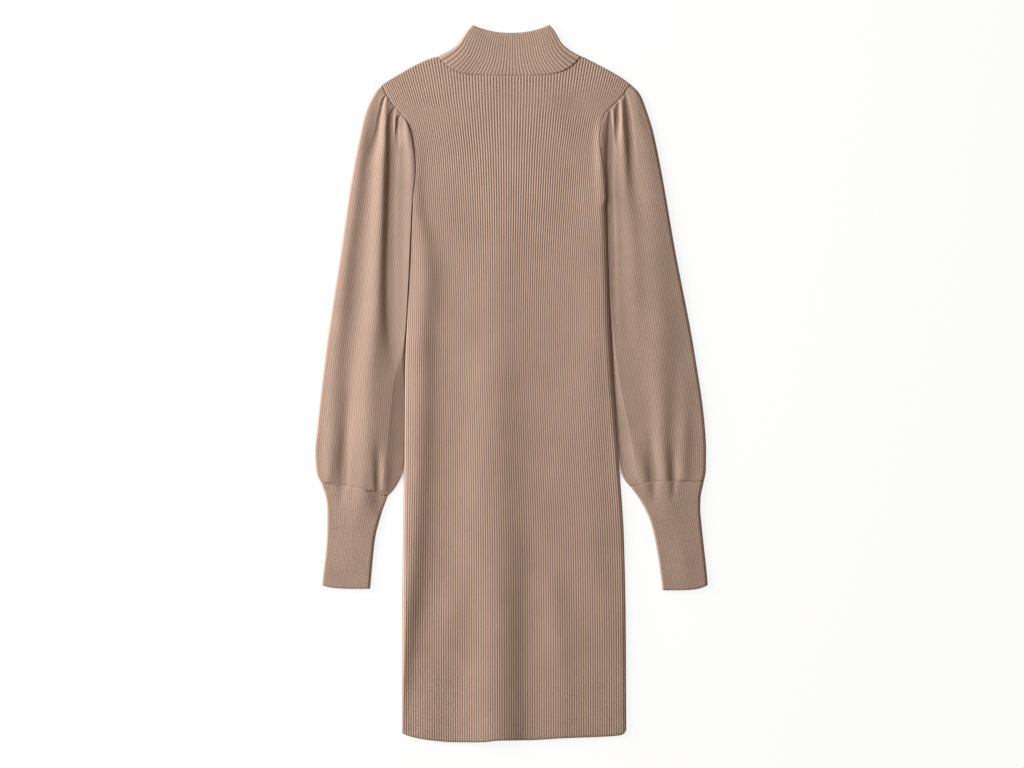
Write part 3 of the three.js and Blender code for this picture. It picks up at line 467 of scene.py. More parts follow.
body_left = along(BODY_SIDES, "y", "left")
body_right = along(BODY_SIDES, "y", "right")
shoulder_line = along(SHOULDER_LINE, "x", "y")
hem_line = along(HEM_LINE, "x", "y")
spread = along(RIB_SPREAD, "y", "half")
crowding = along(RIB_SPREAD, "y", "share")
body_height = heights(BODY_PUFF, BODY_FOLDS)


def neck_curve(x, neck):
    t = np.minimum(1, np.abs(x - NECK_CENTRE_X) / NECK_HALF)
    return NECK_SIDE_Y - neck["drop"] * (1 - t ** neck["power"])


def is_neck(x):
    return np.abs(x - NECK_CENTRE_X) < NECK_HALF


def side_roll(y):
    """1 where the side of the body is free and rolls into the back, 0 beside a sleeve."""
    return 1 - smoothstep(UNDERARM_Y - 14, UNDERARM_Y + 4, y)


def rib_middle(y):
    """The line that the ribs fan out from, halfway between the sides of the skirt."""
    y = np.minimum(y, UNDERARM_Y)
    return (body_left(y) + body_right(y)) / 2


def body_ribs(x, y):
    """Ribs counted from the middle of the body, and the distance from one to the next."""
    t = (x - rib_middle(y)) / spread(y)
    q = crowding(y)
    ribs = HEM_RIBS / 2 * (t + q * (t**3 - t))
    return ribs, spread(y) / (HEM_RIBS / 2 * (1 - q + 3 * q * t * t))


def rib_place(ribs, y):
    """Where across the body a rib runs at a height, the inverse of body_ribs."""
    share, q = ribs / (HEM_RIBS / 2), crowding(y)
    t = share
    for _ in range(6):
        t = t - (t + q * (t**3 - t) - share) / (1 - q + 3 * q * t * t)
    return rib_middle(y) + spread(y) * t


def body_plan(u, v, neck, inset):
    """Places on a panel, u from left to right and v from hem to top, and the height of the top."""
    def across(y):
        y = np.minimum(y, SHOULDER_TIP_Y)
        draw_in = inset * side_roll(y)
        left, right = body_left(y) + draw_in, body_right(y) - draw_in
        ribs = mix(body_ribs(left, y)[0], body_ribs(right, y)[0], u)
        return np.clip(rib_place(ribs, y), left, right)

    low = hem_line(across(HEM_Y))
    top_x = across(SHOULDER_TIP_Y)
    edge = np.where(is_neck(top_x), neck_curve(top_x, neck), shoulder_line(top_x))
    high = np.where(is_neck(top_x), edge, edge - inset)
    y = mix(low, edge, v) - (edge - high) * v**TOP_EDGE_SHARE
    return across(y), y, high


def body_surface(u, v, neck, depth, front, knit):
    """One side of a body panel: depth 0 is its outer surface, the wall's thickness its inner."""
    x, y, high = body_plan(u[None, :], v[:, None], neck, depth)
    roll = side_roll(y)
    from_left, from_right = x - body_left(y) - depth * roll, body_right(y) - x - depth * roll
    from_side = np.minimum(from_left, from_right)
    from_top = high - y
    neckline = is_neck(x)
    ribs, pitch = body_ribs(x, y)
    if front:
        top = body_height(x, y) - depth - HEM_DIP * smoothstep(HEM_DIP_WIDTH, 0, y - hem_line(x))
        rolled = np.maximum(0.4, top - SIDE_SEAM_HEIGHT - SEAM_GAP / 2)
        drop = mix(SEAM_DIP, rolled, roll)
        roundness = mix(EDGE_ROUNDNESS, RIGHT_SIDE_ROUNDNESS, roll)
        side = np.maximum(edge_drop(from_left, drop), edge_drop(from_right, drop, roundness))
        neck_dip = NECK_DIP * smoothstep(1, 0.8, np.abs(x - NECK_CENTRE_X) / NECK_HALF)
        upper = edge_drop(from_top, np.where(neckline, neck_dip, rolled), TOP_ROUNDNESS)
        z = top - np.maximum(side, upper)
    else:
        rolled = SIDE_SEAM_HEIGHT - SEAM_GAP / 2 - depth
        side = edge_drop(from_side, rolled * roll)
        z = depth + np.maximum(side, edge_drop(from_top, np.where(neckline, 0, rolled)))
    if depth == 0:
        fade = smoothstep(-0.3, 1.5, np.minimum(from_side, from_top))
        hem = smoothstep(0, 2.5, y - hem_line(x))
        if front:
            shows = stretched(pitch) * mix(SKIRT_RELIEF, 1, smoothstep(0, UNDERARM_Y - 6, y))
            rise = knit.rib_rise * shows
            z = z + fade * hem * rise * rib_profile(ribs)
            z = z - HEM_EDGE * (1 - hem)
        else:
            z = z + knit.groove_depth * (1 - rib_profile(ribs)) * fade
            z = z + BACK_HEM_EDGE * (1 - hem)
    return {"points": np.stack([x, y, z], -1), "rows": v, "columns": u,
            "places": np.stack([ribs, y / knit.course_pitch], -1)}


def spaced(*stretches):
    """Steps from several stretches, each given as start, stop and number of steps."""
    parts = [np.linspace(a, b, n, endpoint=False) for a, b, n in stretches]
    return np.append(np.concatenate(parts), stretches[-1][1])


# Flattened tubes: collar, sleeves and cuffs


def tube_surface(shape, depth, top_columns, bottom_columns, rows, knit):
    """The outer (depth 0) or inner loop of a flattened tube over a plan."""
    plan, under = shape["plan"], shape["under"]
    ribs = shape["ribs"]

    def gap(a, b):
        return np.hypot(a[0] - b[0], a[1] - b[1])

    def section(columns, lower):
        v = rows[:, None]
        width = gap(plan(np.zeros_like(v), v), plan(np.ones_like(v), v))
        s = mix(depth / width, 1 - depth / width, columns[None, :])
        here = plan(s, v)
        edges = [plan(np.full_like(s, e), v) for e in (0, 1)]
        from_outer, from_inner = (gap(here, edge) - depth for edge in edges)
        distance = np.minimum(from_outer, from_inner)
        x, y = under(s, v) if lower else here
        corner = (columns[None, :] == 0) | (columns[None, :] == 1)
        if not lower:
            ux, uy = under(s, v)
            x, y = np.where(corner, ux, x), np.where(corner, uy, y)
        around = columns[None, :] if not lower else 2 - columns[None, :]
        place = ribs * around + 0 * v
        if lower:
            reach = SIDE_SEAM_HEIGHT - depth
            z = SIDE_SEAM_HEIGHT - reach * quarter_round(distance, reach)
            if depth == 0:
                z = z + knit.groove_depth * (1 - rib_profile(place)) * smoothstep(2, 4, distance)
        else:
            starts, ends = gap(here, plan(s, 0 * v)), gap(here, plan(s, 0 * v + 1))
            dip = np.maximum(edge_drop(starts, shape["dip_start"]), edge_drop(ends, shape["dip_end"]))
            reach = shape["height"](x, y) - np.where(corner, 0, dip) - depth - SIDE_SEAM_HEIGHT
            outer_radius, inner_radius = shape["edges"]
            rounded = np.minimum(quarter_round(from_outer, outer_radius),
                                 quarter_round(from_inner, inner_radius))
            if "press" in shape:
                wide, power = shape["press"]
                rounded = np.minimum(rounded, np.clip(from_inner / wide(v), 0, 1) ** power)
            z = SIDE_SEAM_HEIGHT + reach * rounded
            if depth == 0:
                fade = smoothstep(0, 1.6, distance) * smoothstep(-0.4, 1.2, np.minimum(starts, ends))
                width = gap(edges[0], edges[1])
                rise = knit.rib_rise * shape["relief"] * stretched(width / ribs)
                z = z + rise * rib_profile(place) * fade
        length = shape["length"] * v + 0 * s
        points = np.stack([x + 0 * z, y + 0 * z, z], -1)
        return points, np.stack([place, length / knit.course_pitch], -1)

    top, top_places = section(top_columns, False)
    under_columns = bottom_columns[1:-1][::-1]
    bottom, bottom_places = section(under_columns, True)
    closing = top_places[:, :1] + np.array([2 * ribs, 0])
    return {
        "points": np.concatenate([top, bottom], 1),
        "places": np.concatenate([top_places, bottom_places, closing], 1),
        "rows": rows,
        "columns": np.concatenate([top_columns, 2 - under_columns, [2]]),
    }


def collar_shape():
    half = along(COLLAR_FLARE, "rise", "half")
    tip_rise = COLLAR_TIP_Y - NECK_SIDE_Y

    def plan_over(neck):
        def plan(u, v):
            side = 2 * u - 1
            x = mix(NECK_CENTRE_X, COLLAR_TIP_CENTRE_X, v) + side * half(v * tip_rise)
            seam_x = NECK_CENTRE_X + side * NECK_HALF
            slope = neck_curve(seam_x + 0.5, neck) - neck_curve(seam_x - 0.5, neck)
            low = neck_curve(seam_x, neck) + NECK_GAP * np.hypot(1, slope)
            high = COLLAR_TIP_Y - COLLAR_TOP_SAG * (1 - np.abs(side) ** COLLAR_TOP_POWER)
            return x, mix(low, high, v)

        return plan

    return {"plan": plan_over(FRONT_NECK), "under": plan_over(BACK_NECK), "ribs": COLLAR_RIBS,
            "height": heights(CUFF_PUFF, COLLAR_FOLDS), "dip_start": NECK_DIP,
            "dip_end": CUT_EDGE_DIP, "length": 58, "relief": 0.3,
            "edges": (CRISP_EDGE, COLLAR_FAR_EDGE)}


# Most of a sleeve's ribs end at its pleated cap, few at the straight part of the armhole
def armhole_share(u):
    return 0.55 * u + 0.45 * u**5


def sleeve_plan(side, outer_rows, inner_rows, seam_rows):
    """A sleeve's plan: straight lines from cuff seam to armhole, bent to follow both its edges."""
    edge = body_left if side < 0 else body_right
    away = along(inner_rows, "y", "away")
    seam_y = along(seam_rows, "x", "y")
    start, stop = (0, -1) if side < 0 else (-1, 0)
    start_y, stop_y = seam_rows["y"][start], seam_rows["y"][stop]
    outer_x = along(outer_rows, "y", "x")

    def armhole(u):
        y = mix(SHOULDER_TIP_Y, UNDERARM_Y, armhole_share(u))
        slope = edge(y + 0.5) - edge(y - 0.5)
        gap = mix(ARMHOLE_GAP * np.hypot(1, slope), FREE_EDGE_GAP, smoothstep(0.85, 1, u))
        return np.array([edge(y) + side * gap, y])

    def outer(v):
        y = mix(start_y + CUFF_GAP / 2, SHOULDER_TIP_Y, v)
        return np.array([outer_x(y), y])

    def inner(v):
        y = mix(stop_y + CUFF_GAP / 2, UNDERARM_Y, v)
        return np.array([edge(y) + side * (FREE_EDGE_GAP + away(y)), y])

    def cuff_seam(u):
        x = mix(outer(0.0)[0], inner(0.0)[0], u)
        return np.array([x, seam_y(x) + CUFF_GAP / 2])

    def plan(u, v):
        u, v = np.broadcast_arrays(np.asarray(u, float), np.asarray(v, float))
        straight = mix(cuff_seam(u), armhole(u), v)
        reach = mix(1, 4, smoothstep(0.7, 0.97, v))
        bulge_out = outer(v) - mix(cuff_seam(0 * u), armhole(0 * u), v)
        bulge_in = inner(v) - mix(cuff_seam(0 * u + 1), armhole(0 * u + 1), v)
        x, y = straight + bulge_out * (1 - u) ** reach + bulge_in * u**reach
        return side * np.maximum(side * x, side * edge(y) + FREE_EDGE_GAP), y

    return plan


SLEEVES = {
    "left": {
        "plan": sleeve_plan(-1, LEFT_SLEEVE_OUTER, LEFT_SLEEVE_INNER, LEFT_CUFF_SEAM),
        "folds": LEFT_SLEEVE_FOLDS, "press": (along(LEFT_PRESS, "v", "reach"), 0.8),
        "edges": (CRISP_EDGE, PRESSED_EDGE),
        "cuff_sides": LEFT_CUFF_SIDES, "cuff_folds": LEFT_CUFF_FOLDS, "cuff_slant": 4.8,
        "cuff_edges": (CRISP_EDGE, ROUND_EDGE),
    },
    "right": {
        "plan": sleeve_plan(1, RIGHT_SLEEVE_OUTER, RIGHT_SLEEVE_INNER, RIGHT_CUFF_SEAM),
        "folds": RIGHT_SLEEVE_FOLDS, "press": (along(RIGHT_PRESS, "v", "reach"), 1.3),
        "edges": (ROUND_EDGE, CRISP_EDGE),
        "cuff_sides": RIGHT_CUFF_SIDES, "cuff_folds": RIGHT_CUFF_FOLDS, "cuff_slant": 6.8,
        "cuff_edges": (ROUND_EDGE, CRISP_EDGE),
    },
}


def sleeve_shape(sleeve):
    return {"plan": sleeve["plan"], "under": sleeve["plan"], "press": sleeve["press"],
            "ribs": SLEEVE_RIBS, "height": heights(SLEEVE_PUFF, sleeve["folds"]),
            "dip_start": GATHER_DIP, "dip_end": SEAM_DIP, "length": 530, "relief": 0.2,
            "edges": sleeve["edges"]}


def cuff_shape(sleeve):
    sides = sleeve["cuff_sides"]
    outer, inner = along(sides, "y", "outer"), along(sides, "y", "inner")

    def plan(u, v):
        u, v = np.broadcast_arrays(np.asarray(u, float), np.asarray(v, float))
        seam_x, seam_y = sleeve["plan"](u, 0 * v)
        bottom = CUFF_BOTTOM_Y - sleeve["cuff_slant"] * (1 - (1 - u) ** 5)
        y = mix(bottom, seam_y - CUFF_GAP, v)
        edge_x = mix(outer(y), inner(y), u)
        seam_edge_x = mix(outer(seam_y), inner(seam_y), u)
        return edge_x + (seam_x - seam_edge_x) * smoothstep(0.6, 1, v), y

    return {"plan": plan, "under": plan, "ribs": CUFF_RIBS,
            "height": heights(CUFF_PUFF, sleeve["cuff_folds"]), "dip_start": CUT_EDGE_DIP,
            "dip_end": GATHER_DIP, "length": 135, "relief": 0.12, "edges": sleeve["cuff_edges"]}


def knit_tube(name, shape, rows, knit, top_steps=6, bottom_steps=4):
    ribs = shape["ribs"]
    top = spaced((0, 1, ribs * top_steps))
    bottom = spaced((0, 1, ribs * bottom_steps))
    plain = spaced((0, 0.06, 5), (0.06, 0.94, 24), (0.94, 1, 5))
    outer = tube_surface(shape, 0, top, bottom, rows, knit)
    inner = tube_surface(shape, WALL, plain, plain, rows[::3], knit)
    return knit_wall(name, outer, inner, True, rib_knit(knit, name == "knit_collar"))


# Materials


def linear(code):
    """Turns an sRGB hex colour into the linear colour that a shader takes."""
    parts = [int(code[i : i + 2], 16) / 255 for i in (1, 3, 5)]
    return [c / 12.92 if c <= 0.04045 else ((c + 0.055) / 1.055) ** 2.4 for c in parts] + [1]


def node(tree, kind, inputs=(), **settings):
    """Adds a node with its settings. inputs pairs a socket with a value or an output."""
    made = tree.nodes.new(kind)
    for key, value in settings.items():
        setattr(made, key, value)
    for socket, value in dict(inputs).items():
        if isinstance(value, bpy.types.NodeSocket):
            tree.links.new(value, made.inputs[socket])
        else:
            made.inputs[socket].default_value = value
    return made


def rib_knit(knit, drawn=True):
    """Cotton-blend rib knit, machine knitted, soft and matt.

    The eye sees light rib backs, grooves darkened and warmed with painted shade, chains of V-shaped
    stitches up close and a faint bloom of loose fibres at grazing angles. Where it isn't drawn
    apart, the ribs close up and less painted shade goes into the grooves.
    """
    name = "Rib knit, soft cotton blend" + ("" if drawn else ", closed up")
    if name in bpy.data.materials:
        return bpy.data.materials[name]
    made = bpy.data.materials.new(name)
    made.use_nodes = True
    tree = made.node_tree
    tree.nodes.clear()
    place = node(tree, "ShaderNodeUVMap", uv_map="Knit")
    split = node(tree, "ShaderNodeSeparateXYZ", {0: place.outputs[0]})

    def maths(operation, a, b=0.0):
        return node(tree, "ShaderNodeMath", {0: a, 1: b}, operation=operation).outputs[0]

    ribs, courses = split.outputs[0], split.outputs[1]
    back = maths("ABSOLUTE", maths("SINE", maths("MULTIPLY", ribs, math.pi)))
    off_middle = maths("ABSOLUTE", maths("SUBTRACT", maths("FRACT", ribs), 0.5))
    chain = maths("ADD", courses, maths("MULTIPLY", off_middle, 1.3))
    stitches = maths("SINE", maths("MULTIPLY", chain, 2 * math.pi))
    cells = node(tree, "ShaderNodeTexCoord")
    fuzz = node(tree, "ShaderNodeTexNoise", {"Vector": cells.outputs["Object"], "Scale": 900.0,
                                             "Detail": 3.0, "Roughness": 0.6})
    patches = node(tree, "ShaderNodeTexNoise", {"Vector": cells.outputs["Object"], "Scale": 22.0,
                                                "Detail": 3.0, "Roughness": 0.55})
    shade = node(tree, "ShaderNodeValToRGB", {0: back})
    shade.color_ramp.elements[0].position = 0.05
    # Painted shade: the grooves get a darker, warmer colour than the rib backs, standing in for the
    # shade down between the ribs; the closed-up copy paints paler groove shade
    groove, back_colour = (
        (knit.groove_shade_code, knit.back_colour_code) if drawn
        else (knit.closed_groove_shade_code, knit.closed_back_code))
    shade.color_ramp.elements[0].color = linear(groove)
    shade.color_ramp.elements[1].position = 0.85
    shade.color_ramp.elements[1].color = linear(back_colour)
    uneven = node(tree, "ShaderNodeMapRange", {0: patches.outputs["Fac"], 1: 0.3, 2: 0.7,
                                               3: 0.955, 4: 1.045})
    fine = node(tree, "ShaderNodeMapRange", {0: fuzz.outputs["Fac"], 1: 0.25, 2: 0.75,
                                             3: 0.94, 4: 1.06})
    strength = maths("MULTIPLY", uneven.outputs[0], fine.outputs[0])
    colour = node(tree, "ShaderNodeVectorMath", {0: shade.outputs[0], 3: strength},
                  operation="SCALE")
    relief = maths("ADD", maths("MULTIPLY", stitches, 0.5), maths("MULTIPLY", back, 0.6))
    relief = maths("ADD", relief, maths("MULTIPLY", fuzz.outputs["Fac"], 0.3))
    bump = node(tree, "ShaderNodeBump", {"Height": relief, "Strength": 0.55,
                                         "Distance": knit.stitch_depth * MM})
    cloth = node(tree, "ShaderNodeBsdfPrincipled", {
        "Base Color": colour.outputs[0], "Roughness": 0.92, "Specular IOR Level": 0.25,
        "Sheen Weight": 0.06, "Sheen Roughness": 0.5, "Sheen Tint": linear("#EBD9CB"),
        "Normal": bump.outputs[0]})
    node(tree, "ShaderNodeOutputMaterial", {0: cloth.outputs[0]})
    return made


def linked_seam(knit):
    """Linking stitches in the dress's own yarn: tighter loops, so a touch lighter and smoother."""
    name = "Linked seam, own yarn"
    if name in bpy.data.materials:
        return bpy.data.materials[name]
    made = bpy.data.materials.new(name)
    made.use_nodes = True
    tree = made.node_tree
    tree.nodes.clear()
    cells = node(tree, "ShaderNodeTexCoord")
    fibres = node(tree, "ShaderNodeTexNoise", {"Vector": cells.outputs["Object"], "Scale": 1400.0,
                                               "Detail": 2.0})
    shade = node(tree, "ShaderNodeValToRGB", {0: fibres.outputs["Fac"]})
    shade.color_ramp.elements[0].color = linear(knit.seam_shadow_code)
    shade.color_ramp.elements[1].color = linear(knit.seam_colour_code)
    bump = node(tree, "ShaderNodeBump", {"Height": fibres.outputs["Fac"], "Strength": 0.4,
                                         "Distance": 0.0002})
    yarn = node(tree, "ShaderNodeBsdfPrincipled", {
        "Base Color": shade.outputs[0], "Roughness": 0.88, "Specular IOR Level": 0.25,
        "Sheen Weight": 0.1, "Normal": bump.outputs[0]})
    node(tree, "ShaderNodeOutputMaterial", {0: yarn.outputs[0]})
    return made


def paper_floor():
    """White paper with a painted glow that only the camera sees: it looks white, and where ambient
    occlusion finds the dress close by, the glow gives way to the paper's real shading, so it holds
    only a faint shadow.
    """
    made = bpy.data.materials.new("Translucent paper, white")
    made.use_nodes = True
    tree = made.node_tree
    tree.nodes.clear()
    paper = node(tree, "ShaderNodeBsdfDiffuse", {"Color": linear("#F4F3F1")})
    # Painted light: a white glow that only camera rays see, dimmed by ambient occlusion near the dress
    # and in the gaps between its pieces
    glow = node(tree, "ShaderNodeEmission", {"Strength": 1.05})
    seen = node(tree, "ShaderNodeLightPath").outputs["Is Camera Ray"]
    open_sky = node(tree, "ShaderNodeAmbientOcclusion", {"Distance": 0.008}, samples=8)
    bright = node(tree, "ShaderNodeMapRange", {0: open_sky.outputs["AO"], 1: 0.33, 2: 0.55,
                                               3: 0.0, 4: 0.85})
    share = node(tree, "ShaderNodeMath", {0: seen, 1: bright.outputs[0]}, operation="MULTIPLY")
    both = node(tree, "ShaderNodeMixShader", {0: share.outputs[0], 1: paper.outputs[0],
                                              2: glow.outputs[0]})
    node(tree, "ShaderNodeOutputMaterial", {0: both.outputs[0]})
    return made


def linking_row(name, path, radius, pitch, material):
    """A row of linking loops along a seam: a small cord that swells once for each stitch."""
    path = np.asarray(path)
    step = np.diff(path, axis=0)
    length = np.concatenate([[0], np.cumsum(np.linalg.norm(step, axis=1))])
    count = int(length[-1] / pitch * 4)
    at = np.linspace(0, length[-1], count)
    centre = np.stack([np.interp(at, length, path[:, k]) for k in range(3)], 1)
    forward = np.gradient(centre, axis=0)
    forward /= np.linalg.norm(forward, axis=1)[:, None]
    side = np.cross(forward, [0, 0, 1])
    side /= np.linalg.norm(side, axis=1)[:, None]
    up = np.cross(side, forward)
    swell = radius * (0.72 + 0.28 * np.abs(np.sin(np.pi * at / pitch)))
    angle = np.linspace(0, 2 * np.pi, 8, endpoint=False)
    across, along_up = np.cos(angle)[None, :, None], 0.8 * np.sin(angle)[None, :, None]
    ring = side[:, None] * across + up[:, None] * along_up
    points = centre[:, None] + ring * swell[:, None, None]
    index = np.arange(count * 8).reshape(count, 8)
    around = np.roll(index, -1, axis=1)
    quads = np.stack([index[:-1], around[:-1], around[1:], index[1:]], -1).reshape(-1, 4).tolist()
    quads += [index[0][::-1].tolist(), index[-1].tolist()]
    mesh = bpy.data.meshes.new(name)
    mesh.from_pydata((points.reshape(-1, 3) * MM).tolist(), [], quads)
    mesh.polygons.foreach_set("use_smooth", np.ones(len(mesh.polygons), bool))
    mesh.materials.append(material)
    piece = bpy.data.objects.new(name, mesh)
    bpy.context.collection.objects.link(piece)
    if signed_volume(mesh) < 0:
        mesh.flip_normals()
    return piece


class DRESS_PG_knit(bpy.types.PropertyGroup):
    """Sizes and colours of the knitted cloth."""

    rib_rise: bpy.props.FloatProperty(
        name="Rib rise", description="Height of a rib's back above its groove, in millimetres",
        default=0.6, min=0.2, max=2)
    groove_depth: bpy.props.FloatProperty(
        name="Groove depth below", description="Depth of the grooves on the underside, in millimetres",
        default=0.35, min=0, max=1)
    course_pitch: bpy.props.FloatProperty(
        name="Course pitch", description="Length of one stitch along a rib, in millimetres",
        default=1.9, min=0.5, max=5)
    stitch_depth: bpy.props.FloatProperty(
        name="Stitch depth", description="Relief of single stitches, in millimetres",
        default=0.28, min=0, max=2)
    back_colour_code: bpy.props.StringProperty(
        name="Rib back colour", description="sRGB hex colour of the ribs' backs", default="#BFA694")
    # Painted shade: a darker, warmer colour standing in for the shade down between the ribs
    groove_shade_code: bpy.props.StringProperty(
        name="Groove painted shade", description="sRGB hex colour down between the ribs", default="#8C6D5E")
    closed_back_code: bpy.props.StringProperty(
        name="Closed rib colour", description="sRGB hex colour of the backs of closed-up ribs",
        default="#B8A08F")
    # Painted shade, paler, for the grooves between closed-up ribs
    closed_groove_shade_code: bpy.props.StringProperty(
        name="Closed groove painted shade", description="sRGB hex colour between closed-up ribs",
        default="#9C7F70")
    seam_colour_code: bpy.props.StringProperty(
        name="Seam colour", description="sRGB hex colour of the linking loops", default="#BFA594")
    seam_shadow_code: bpy.props.StringProperty(
        name="Seam shade", description="sRGB hex colour between the linking loops", default="#9A8072")


class DRESS_PG_stage(bpy.types.PropertyGroup):
    """Camera and light round the laid-out dress."""

    photo_width: bpy.props.FloatProperty(
        name="View width", description="Width of the view at the surface",
        default=PHOTO_COLUMNS * PHOTO_PIXEL * MM, unit="LENGTH")
    lens: bpy.props.FloatProperty(
        name="Lens", description="Focal length in millimetres", default=200.0)
    key_power: bpy.props.FloatProperty(
        name="Key light", description="Power of the soft light at the left", default=192.0,
        unit="POWER")
    sky: bpy.props.FloatProperty(
        name="Sky", description="Strength of the even light from all round", default=0.2)


def settled(piece, node_name):
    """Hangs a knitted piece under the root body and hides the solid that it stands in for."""
    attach(piece, "root")
    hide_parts(node_name)


class DRESS_OT_body(bpy.types.Operator):
    """Knits the front and the back, which lie on each other"""

    bl_idname = "dress.body"
    bl_label = "Front and back"

    def execute(self, context):
        knit = context.scene.dress_knit
        rows = spaced((0, 0.004, 3), (0.004, 0.74, 56), (0.74, 0.985, 88), (0.985, 1, 12))
        fine = spaced((0, 1, HEM_RIBS * 6))
        coarse_rows = spaced((0, 0.78, 16), (0.78, 0.985, 20), (0.985, 1, 6))
        coarse = spaced((0, 0.03, 6), (0.03, 0.97, 60), (0.97, 1, 6))
        front = knit_wall(
            "knit_front",
            body_surface(fine, rows, FRONT_NECK, 0, True, knit),
            body_surface(coarse, coarse_rows, FRONT_NECK, WALL, True, knit),
            False, rib_knit(knit))
        back_columns = spaced((0, 0.03, 16), (0.03, 0.97, 400), (0.97, 1, 16))
        back_rows = spaced((0, 0.004, 3), (0.004, 0.78, 30), (0.78, 0.985, 30), (0.985, 1, 10))
        back = knit_wall(
            "knit_back",
            body_surface(back_columns, back_rows, BACK_NECK, 0, False, knit),
            body_surface(coarse, coarse_rows, BACK_NECK, WALL, False, knit),
            False, rib_knit(knit))
        settled(front, "body_front")
        settled(back, "body_back")
        return {"FINISHED"}


class DRESS_OT_collar(bpy.types.Operator):
    """Knits the mock-neck collar"""

    bl_idname = "dress.collar"
    bl_label = "Collar"

    def execute(self, context):
        knit = context.scene.dress_knit
        rows = spaced((0, 0.1, 8), (0.1, 0.9, 26), (0.9, 1, 8))
        collar = knit_tube("knit_collar", collar_shape(), rows, knit, top_steps=10, bottom_steps=6)
        settled(collar, "collar")
        return {"FINISHED"}


class DRESS_OT_sleeves(bpy.types.Operator):
    """Knits the two bishop sleeves with their pleated caps"""

    bl_idname = "dress.sleeves"
    bl_label = "Sleeves"

    def execute(self, context):
        knit = context.scene.dress_knit
        rows = spaced((0, 0.05, 14), (0.05, 0.7, 60), (0.7, 0.93, 40), (0.93, 1, 36))
        for side, cut in SLEEVES.items():
            sleeve = knit_tube("knit_sleeve_" + side, sleeve_shape(cut), rows, knit)
            settled(sleeve, "sleeve_" + side)
        return {"FINISHED"}


class DRESS_OT_cuffs(bpy.types.Operator):
    """Knits the two long narrow cuffs"""

    bl_idname = "dress.cuffs"
    bl_label = "Cuffs"

    def execute(self, context):
        knit = context.scene.dress_knit
        rows = spaced((0, 0.05, 6), (0.05, 0.8, 34), (0.8, 1, 20))
        for side, cut in SLEEVES.items():
            cuff = knit_tube("knit_cuff_" + side, cuff_shape(cut), rows, knit)
            settled(cuff, "cuff_" + side)
        return {"FINISHED"}


class DRESS_OT_seams(bpy.types.Operator):
    """Links the seams at neck, armholes and cuffs"""

    bl_idname = "dress.seams"
    bl_label = "Seams"

    def execute(self, context):
        knit = context.scene.dress_knit
        material = linked_seam(knit)
        t = np.linspace(-0.95, 0.95, 160)
        x = NECK_CENTRE_X + t * NECK_HALF
        y = neck_curve(x, FRONT_NECK) + NECK_GAP / 2
        z = body_height(x, y) - 1.0
        rows = [("seam_neck", np.stack([x, y, z], 1), 0.75)]
        for side, cut in SLEEVES.items():
            u = np.linspace(0.02, 0.96, 160)
            x, y = cut["plan"](u, np.ones_like(u))
            edge = np.sign(x)
            z = body_height(x - edge * 2, y) - 1.3
            rows.append(("seam_armhole_" + side, np.stack([x - edge * 0.3, y, z], 1), 0.7))
            u = np.linspace(0.05, 0.95, 120)
            x, y = cut["plan"](u, np.zeros_like(u))
            sleeve_top = heights(SLEEVE_PUFF, cut["folds"])(x, y)
            cuff_top = heights(CUFF_PUFF, cut["cuff_folds"])(x, y)
            z = np.minimum(sleeve_top, cuff_top) - 0.1
            rows.append(("seam_cuff_" + side, np.stack([x, y - CUFF_GAP / 2, z], 1), 0.85))
        for name, path, radius in rows:
            piece = linking_row(name, path, radius, LINKING_PITCH, material)
            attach(piece, "root")
        return {"FINISHED"}


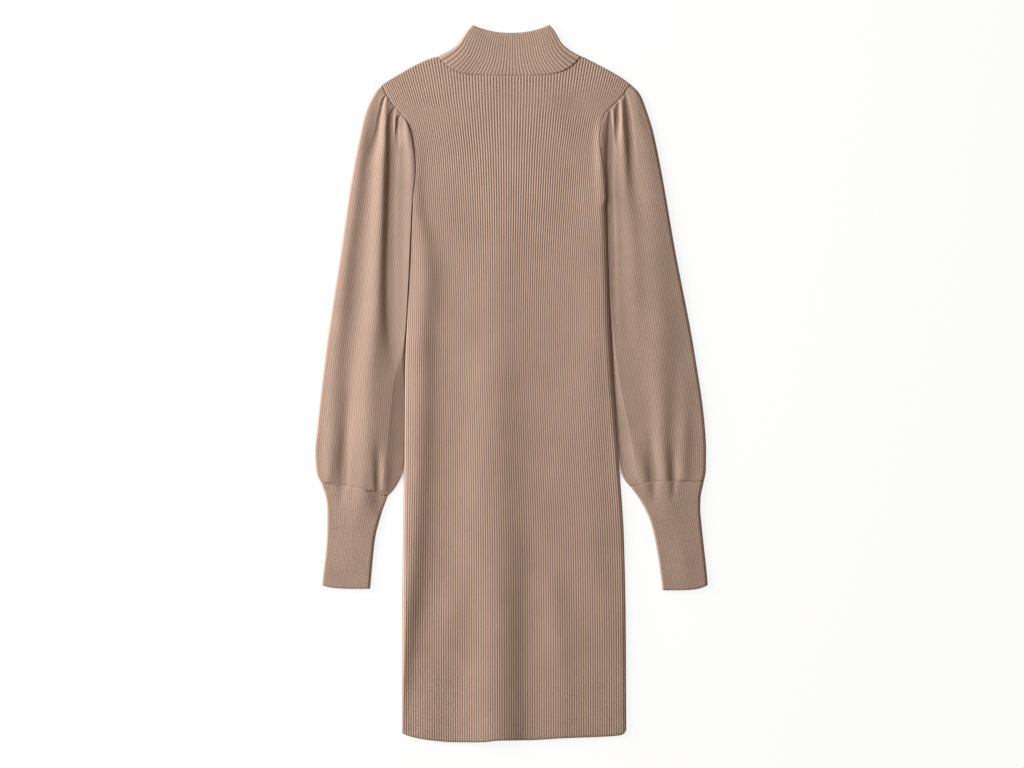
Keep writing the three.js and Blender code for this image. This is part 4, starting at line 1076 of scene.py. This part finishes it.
class DRESS_OT_stage(bpy.types.Operator):
    """Sets up the camera above the dress, the paper it lies on and the soft light"""

    bl_idname = "dress.stage"
    bl_label = "Stage"

    def execute(self, context):
        stage = context.scene.dress_stage
        data = bpy.data.cameras.new("camera")
        data.lens = stage.lens
        data.sensor_width = 36.0
        camera = bpy.data.objects.new("camera", data)
        distance = stage.photo_width * stage.lens / data.sensor_width
        half_pixel = 0.5 * PHOTO_PIXEL * MM
        camera.location = (half_pixel, -half_pixel, distance)
        data.clip_end = 50.0
        context.collection.objects.link(camera)
        context.scene.camera = camera

        mesh = bpy.data.meshes.new("floor")
        reach = 6.0
        mesh.from_pydata([(-reach, -reach, -0.0004), (reach, -reach, -0.0004),
                          (reach, reach, -0.0004), (-reach, reach, -0.0004)], [], [(0, 1, 2, 3)])
        mesh.materials.append(paper_floor())
        floor = bpy.data.objects.new("floor", mesh)
        context.collection.objects.link(floor)

        light = bpy.data.lights.new("key", "AREA")
        light.shape = "RECTANGLE"
        light.size, light.size_y = 2.4, 2.4
        light.energy = stage.key_power
        key = bpy.data.objects.new("key", light)
        key.location = (-2.6, 0.95, 1.2)
        aim = -key.location.normalized()
        key.rotation_euler = aim.to_track_quat("-Z", "Y").to_euler()
        context.collection.objects.link(key)

        world = bpy.data.worlds.new("even light")
        world.use_nodes = True
        world.node_tree.nodes["Background"].inputs["Color"].default_value = linear("#FFE6D8")
        world.node_tree.nodes["Background"].inputs["Strength"].default_value = stage.sky
        context.scene.world = world
        context.scene.view_settings.view_transform = "Standard"
        return {"FINISHED"}


class DRESS_PT_panel(bpy.types.Panel):
    """Lists the steps that knit the dress"""

    bl_label = "Sweater dress"
    bl_idname = "DRESS_PT_panel"
    bl_space_type = "VIEW_3D"
    bl_region_type = "UI"
    bl_category = "Dress"

    def draw(self, context):
        for settings in (context.scene.dress_knit, context.scene.dress_stage):
            for key in settings.__annotations__:
                self.layout.prop(settings, key)
        for step in STEPS:
            self.layout.operator(step.bl_idname)


STEPS = (DRESS_OT_stage, DRESS_OT_body, DRESS_OT_collar, DRESS_OT_sleeves, DRESS_OT_cuffs,
         DRESS_OT_seams)
CLASSES = (DRESS_PG_knit, DRESS_PG_stage, *STEPS, DRESS_PT_panel)


def register():
    for kind in CLASSES:
        bpy.utils.register_class(kind)
    bpy.types.Scene.dress_knit = bpy.props.PointerProperty(type=DRESS_PG_knit)
    bpy.types.Scene.dress_stage = bpy.props.PointerProperty(type=DRESS_PG_stage)


def unregister():
    del bpy.types.Scene.dress_stage
    del bpy.types.Scene.dress_knit
    for kind in reversed(CLASSES):
        bpy.utils.unregister_class(kind)


def main():
    register()
    for step in STEPS:
        group, action = step.bl_idname.split(".")
        getattr(getattr(bpy.ops, group), action)()


if __name__ == "__main__":
    main()
